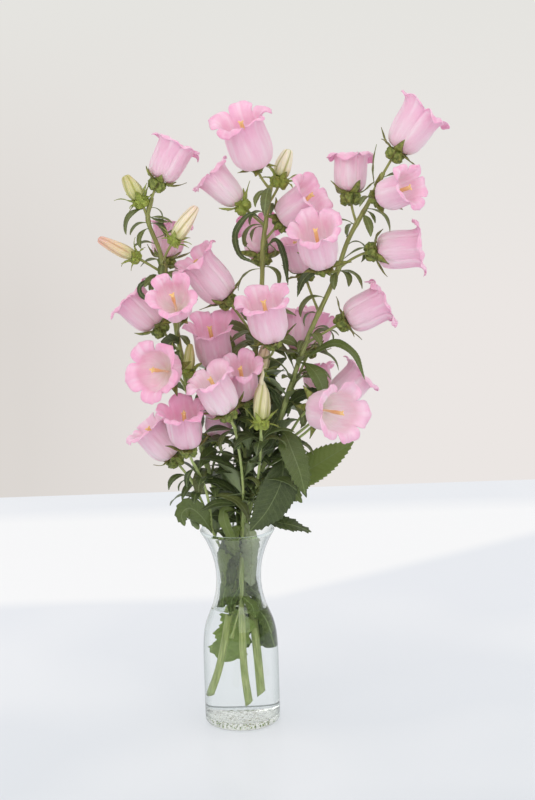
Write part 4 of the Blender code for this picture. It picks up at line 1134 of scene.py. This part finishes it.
def pedicel(flower):
    """The bend from the stem to the seat of the flower, along its axis at the end: a quadratic curve
    whose corner lies under the seat."""
    start = at_height(ROUTES[flower.stem], flower.start)[0]
    seat = np.array(flower.seat, float)
    corner = seat - turned_frame(flower)[:, 2] * max(0.35 * np.linalg.norm(seat - start), 6)
    s = np.linspace(0, 1, 14)
    t = s[:, None]
    path = start * (1 - t) ** 2 + 2 * corner * t * (1 - t) + seat * t ** 2
    return tube(path, 1.35 + 0.35 * s ** 4 + 0.5 * s[::-1] ** 6, 10, ribs=5, depth=0.05, tone=0.35)


def make_stems():
    """Each stem with its branches and pedicels; it swells where a pedicel leaves, and its foot is cut at
    a slant and paler."""
    for name in STEM_ROUTES:
        parts = []
        for part in [n for n in ROUTES if OWNER[n] == name]:
            main = part == name
            path = spaced(ROUTES[part], 130 if main else 40)
            share = np.linspace(0, 1, len(path))
            radii = np.interp(share, (0, 1), RADII[part])
            for flower in FLOWERS.values():
                if flower.stem == part:
                    radii = radii + 0.5 * hump(path[:, 2] - flower.start, 3.5)
            tone = 0.25 + 0.6 * step(0.03, 0.0, share) if main else 0.3
            parts.append(tube(path, radii, 15, ribs=5, depth=0.07, tone=tone, slant=0.9 * main))
        parts += [pedicel(flower) for flower in FLOWERS.values() if OWNER[flower.stem] == name]
        make_piece(name.replace("stem", "stalk"), joined(parts), [STEM], [name])


def leaf_base(stem, height, out):
    """A point just inside the stem's surface at a height, on the side of it that a direction points to."""
    centre, along = at_height(ROUTES[stem], height)
    return centre + unit(out - along * (out @ along)) * (radius_at(stem, height) - SUNK)


def leaf_path(stem, height, points):
    """The midrib: from the stem, on the side that it leaves to, through its points."""
    out = np.array(points[0], float) - at_height(ROUTES[stem], height)[0]
    return catmull([tuple(leaf_base(stem, height, out))] + points, 10)


def make_leaves():
    """The larger leaves. Those in the vase are rounder, crumpled, and pressed against the glass."""
    for seed, (name, (stem, height, points, width, face, ripple)) in enumerate(LEAVES.items()):
        large, soaked = width > 15, "_in_" in name
        made = blade(leaf_path(stem, height, points), width, face, tooth=2.6 if large else 0.6,
                     spacing=5.4 if large else 3.4, ripple=ripple, keel=0.2 if soaked else 0.14,
                     cols=17 if large else 11, vein=0.06, outline=OVAL if soaked else LANCE,
                     tone=LEAF_TONE.get(name, 0.05), crumple=0.9 * soaked, seed=seed)
        if soaked:
            made = inside_glass(made)
        make_piece(name.replace("leaf", "blade"), made, [SOAKED_LEAF if "_in_water_" in name else LEAF],
                   [name])


def arched(stem, height, heading, rise, bend, length):
    """The midrib of a small leaf: it leaves the stem's surface on its heading and its slope falls evenly
    from the rise, with a slow swing to one side."""
    heading = math.radians(heading)
    t = np.linspace(0, 1, 24)
    slope = np.radians(rise - bend * t ** 0.9)
    turn = heading + 0.25 * t ** 2 * math.sin(height)
    start = leaf_base(stem, height, np.array([math.cos(heading), math.sin(heading), 0]))
    steps = length / (len(t) - 1) * polar(np.cos(slope), turn, np.sin(slope))
    return start + np.vstack([np.zeros(3), np.cumsum(steps[1:], 0)])


def small_leaf(row, seed, tone):
    """A narrow toothed leaf whose upper face looks up and outward along its arch."""
    *arch, width = row
    heading, broad = math.radians(row[2]), width > 10
    roll = np.random.default_rng(seed).uniform(-1.1, 1.1, 2) * broad
    face = (0.35 * math.cos(heading) + roll[0], 0.35 * math.sin(heading) - 0.12 + roll[1], 1.0)
    return blade(arched(*arch), (1.12 if broad else 1.35) * width, face, tooth=1.0 if broad else 0.45,
                 spacing=5.2 if broad else 4.0, ripple=0.09, keel=0.22, cols=7, vein=0.08, tone=tone, seed=seed)


def bract_rows():
    """A bract under each pedicel, on the side that the pedicel leaves to, and the thicket's leaves in a
    spiral by the golden angle; those at the front are smaller."""
    rows = []
    for k, flower in enumerate(FLOWERS.values()):
        rng = np.random.default_rng(300 + k)
        away = np.array(flower.seat, float) - at_height(ROUTES[flower.stem], flower.start)[0]
        heading = math.degrees(math.atan2(away[1], away[0])) + rng.uniform(-40, 40)
        rows.append((flower.stem, flower.start - 2, heading, rng.uniform(5, 35), rng.uniform(70, 150),
                     rng.uniform(20, 34), rng.uniform(4.5, 7)))
    for name, low, high, count in THICKET:
        rng = np.random.default_rng(low + high + count)
        for k in range(count):
            height = low + (high - low) * (k + rng.uniform(-0.3, 0.3) + 0.5) / count
            heading = GOLDEN_ANGLE * k + rng.uniform(-25, 25)
            size = (1.15 - 0.35 * k / count) * (1 - 0.4 * max(0, -math.sin(math.radians(heading))) ** 2)
            rows.append((name, height, heading, rng.uniform(25, 80), rng.uniform(30, 130),
                         size * rng.uniform(38, 60), size * rng.uniform(9, 16)))
    return rows


def enters_bell(leaf):
    """Whether a leaf has grown into the hollow of a bell: a few of its points lie between the seat and the
    rim and nearer the axis than the wall, a cone that widens to 0.55 of the reach."""
    for bell in BELLS.values():
        local = (leaf["points"] - np.array(bell.seat, float)) @ turned_frame(bell)
        share = local[:, 2] / bell.length
        wall = 0.55 * bell.reach * np.minimum(1, share / 0.35)
        if ((share > 0.15) & (share < 0.95) & (np.hypot(local[:, 0], local[:, 1]) < wall)).sum() > 3:
            return True
    return False


def make_small_leaves():
    """Three tones by turns, lighter high up. The broadest leaves look like the large leaves; three of four
    low down take the large leaves' darker blade as well, painted shade in the thick of leaves above the vase."""
    light_above, painted_shade_below, broadest = 360, 345, 13
    rows = [(stem, *leaf) for stem, leaves in SMALL_LEAVES for leaf in leaves]
    rows += UPRIGHT_LEAVES + bract_rows() + BACK_LEAVES
    for stem in STEM_ROUTES:
        leaves = []
        for k, row in enumerate(rows):
            if OWNER[row[0]] == stem:
                height, width = row[1], row[-1]
                leaf = small_leaf(row, k, 0.12 * (k % 3) + 0.25 * (height > light_above))
                # painted shade: low down, three of four leaves take the darker blade of the large leaves
                leaf["numbers"][:] = (height < painted_shade_below and k % 4 > 0) or width > broadest
                if not enters_bell(leaf):
                    leaves.append(leaf)
        make_piece(stem.replace("stem", "bracts"), joined(leaves), [SMALL_LEAF, LEAF])


def make_neck_leaves():
    """The crumpled leaves bunched in the neck, and a bare twig that thickens at its lower end."""
    parts = []
    for seed, (stem, height, points, width, face, tone) in enumerate(NECK_LEAVES):
        leaf = blade(leaf_path(stem, height, points), width, face, tooth=1.4, spacing=4.2, ripple=0.36,
                     keel=0.25, vein=0.16, outline=OVAL, tone=tone, crumple=0.9, seed=seed)
        leaf["numbers"][:] = height < WATER_LEAF_BELOW
        parts.append(inside_glass(leaf))
    path = catmull(TWIG, 6)
    twig = tube(path, 0.8 + 1.2 * step(0.85, 0.97, np.linspace(0, 1, len(path))), 8)
    twig["numbers"][:] = 2
    make_piece("leaves_in_neck", joined(parts + [twig]), [LEAF, SOAKED_LEAF, STEM])


# ----------------------------------------------------------------------------------------- flowers


def make_bell(name, bell, seed):
    """Corolla, style, and a calyx whose sepals follow the corolla's wall."""
    length, reach = bell.length, bell.reach
    flare = FLARE.get(name, USUAL_FLARE)
    petals = corolla(length, reach, bell.roll, bell.pink, seed, flare)
    make_piece(name.replace("bell", "corolla"), placed(petals, bell), [PETAL], [name])
    make_piece(name.replace("bell", "style"), placed(style(length, seed), bell), [STYLE])
    size = (0.62 + 0.38 * reach / USUAL_REACH) * SEAT_SIZE.get(name, 1)
    wide, tall = bell_scale(length, reach, flare)
    radius, height = meridian(np.linspace(0, 0.7, 50), np.ones(1), flare)
    wall = np.stack([wide * radius + 0.4, tall * height + BASE])
    calyx = joined([pod(size * 0.92, 0.38, seed)]
                   + sepals(22 * size, 9.8 * size, SEPAL_SPREAD.get(name, 52), seed, (7.6 * size, 3.6), wall))
    make_piece(name.replace("bell", "calyx"), placed(calyx, bell),
               [GREEN_CALYX if name == "bell_middle_2" else CALYX])


def make_bud(name, row, seed):
    """Furled corolla, and a calyx with five sepals that stand up and five short ones that spread."""
    if name == "bud_front_1":
        furled = joined([bud(row.length, row.widest, row.ripe, 0.65)] + withered_tip(row.length))
    else:
        furled = bud(row.length, row.widest, row.ripe)
    make_piece(name.replace("bud", "furled"), placed(furled, row), [BUD], [name])
    size = SEAT_SIZE.get(name, 0.75)
    calyx = joined([pod(size * 0.93, 0.25, seed + 50)]
                   + sepals(22 * size, 7 * size, 46, seed + 50, (7.2 * size, 3.2))
                   + sepals(13 * size, 6 * size, 84, seed + 80, (9.5 * size, 1.5), turn=0))
    make_piece(name.replace("bud", "bud_calyx"), placed(calyx, row), [GREEN_CALYX])


def make_flowers():
    """Every bell and every bud; its place in its table is the seed of its random draws."""
    for make, table in ((make_bell, BELLS), (make_bud, BUDS)):
        for seed, (name, row) in enumerate(table.items()):
            make(name, row, seed)


# ------------------------------------------------------------------------------------ view and light


LAMP_AIM = (0, 0, 0.4)


def seen(mat):
    """The light path, and whether the ray is the camera's own, or came by gloss or through glass."""
    path = node(mat, "LightPath").outputs
    direct = maths(mat, "MAXIMUM", path["Is Camera Ray"], path["Is Glossy Ray"])
    return path, maths(mat, "MAXIMUM", direct, path["Is Transmission Ray"])


def table_material():
    """Painted board, satin: a pale blue-white, with a band of painted daylight across its far half, soft
    painted patches of light, and painted shade towards the front.
    """
    mat = start_material("satin_table")
    place = node(mat, "TexCoord").outputs["Object"]
    x, y = axis(mat, place, "X"), axis(mat, place, "Y")
    # painted daylight: a band over the far half of the board, fading towards the back, with soft painted
    # patches of light
    line = maths(mat, "ADD", y, spread(mat, x, 0.04, 1.04, 0.0, -0.7))
    near = spread(mat, line, 0.395, 0.45, kind="SMOOTHSTEP")
    painted_daylight = maths(mat, "MULTIPLY", near, spread(mat, y, 0.84, 0.77, 0.1, 1.0))
    painted_daylight = maths(mat, "MAXIMUM", painted_daylight, spread(mat, noise(mat, place, 3.0, 1.0), 0.45, 0.65, 0.0, 0.3))
    board = node(mat, "BsdfPrincipled", {"Base Color": blend(mat, painted_daylight, "#E8EBEF", "#F4F4F5"),
                                         "Roughness": 0.25, "IOR": 1.4, "Specular IOR Level": 0.3})
    # painted shade: darker towards the front, lighter towards the back
    base = blend(mat, spread(mat, y, -0.25, 0.4), "#D8DCE0", "#EDEFF4")
    pale = node(mat, "Emission", {"Color": blend(mat, painted_daylight, base, "#FFFFFF")})
    # camera, gloss and glass see half of the board as a glow in these painted colours
    share = maths(mat, "MULTIPLY", seen(mat)[1], 0.5)
    mix = node(mat, "MixShader", {0: share, 1: board.outputs[0], 2: pale.outputs[0]})
    node(mat, "OutputMaterial", {"Surface": mix.outputs[0]})
    return mat


def make_stage():
    """The table, and a room whose back wall is pale; its sides and the end behind the camera are darker,
    which only gloss and glass show."""
    mesh = bpy.data.meshes.new("table_top")
    mesh.from_pydata([(-3, -4, 0), (3, -4, 0), (3, 0.972, 0), (-3, 0.838, 0)], [], [(0, 1, 2, 3)])
    mesh.materials.append(table_material())
    link_object("table_top", mesh)
    world = bpy.data.worlds.new("studio")
    bpy.context.scene.world = world
    world.use_nodes = True
    world.node_tree.nodes.clear()
    path, by_eye = seen(world)
    way = node(world, "TexCoord").outputs["Generated"]
    x, y, z = (axis(world, way, name) for name in "XYZ")
    # painted shade on the back wall that the camera sees: darker low down on the left
    low = spread(world, z, -0.12, -0.22)
    left = maths(world, "MULTIPLY", low, spread(world, x, 0.0, -0.08, 0.0, 0.8))
    wall = blend(world, left, blend(world, low, "#E5E4E0", "#EBE6E3"), "#D8D3CE")
    room = blend(world, spread(world, y, -0.2, 0.95, kind="SMOOTHSTEP"), "#6A6765", wall)
    room = blend(world, spread(world, z, 0.35, 0.9), room, "#F0F0F0")
    wall = blend(world, path["Is Camera Ray"], room, wall)
    wall = node(world, "Background", {"Color": wall, "Strength": 1.0})
    light = node(world, "Background", {"Color": "#F7F8FA", "Strength": 0.97})
    mix = node(world, "MixShader", {0: by_eye, 1: light.outputs[0], 2: wall.outputs[0]})
    node(world, "OutputWorld", {"Surface": mix.outputs[0]})


def add_lamp(name, place, size, power, colour):
    """A rectangular lamp that shines at the middle of the flowers."""
    data = bpy.data.lights.new(name, "AREA")
    data.shape = "RECTANGLE"
    data.size, data.size_y = size
    data.energy = power
    data.color = linear(colour)[:3]
    lamp = link_object(name, data)
    lamp.location = place
    lamp.rotation_euler = (Vector(place) - Vector(LAMP_AIM)).to_track_quat("Z", "Y").to_euler()


def make_view():
    """A long lens, 3.1 m in front and a little above the flowers, that looks down by 14.5 degrees and is
    rolled by 1.6 degrees."""
    data = bpy.data.cameras.new("view")
    data.lens, data.sensor_width = 135, 36
    camera = link_object("view", data)
    place, pitch, roll = (0.0367, -3.107, 1.165), math.radians(14.5), math.radians(1.6)
    camera.matrix_world = (Matrix.Translation(place)
                           @ Matrix.Rotation(math.pi / 2 - pitch, 4, "X") @ Matrix.Rotation(-roll, 4, "Z"))
    bpy.context.scene.camera = camera
    bpy.context.scene.view_settings.view_transform = "Standard"


make_vase()
make_water()
make_stems()
make_leaves()
make_small_leaves()
make_neck_leaves()
make_flowers()
make_stage()
make_view()
add_lamp("window", (-1.2, -1.6, 2.1), (1.6, 1.2), 10, "#FFFDFA")
add_lamp("front", (0.7, -2.6, 1.5), (2.0, 1.6), 15, "#FAFBFF")
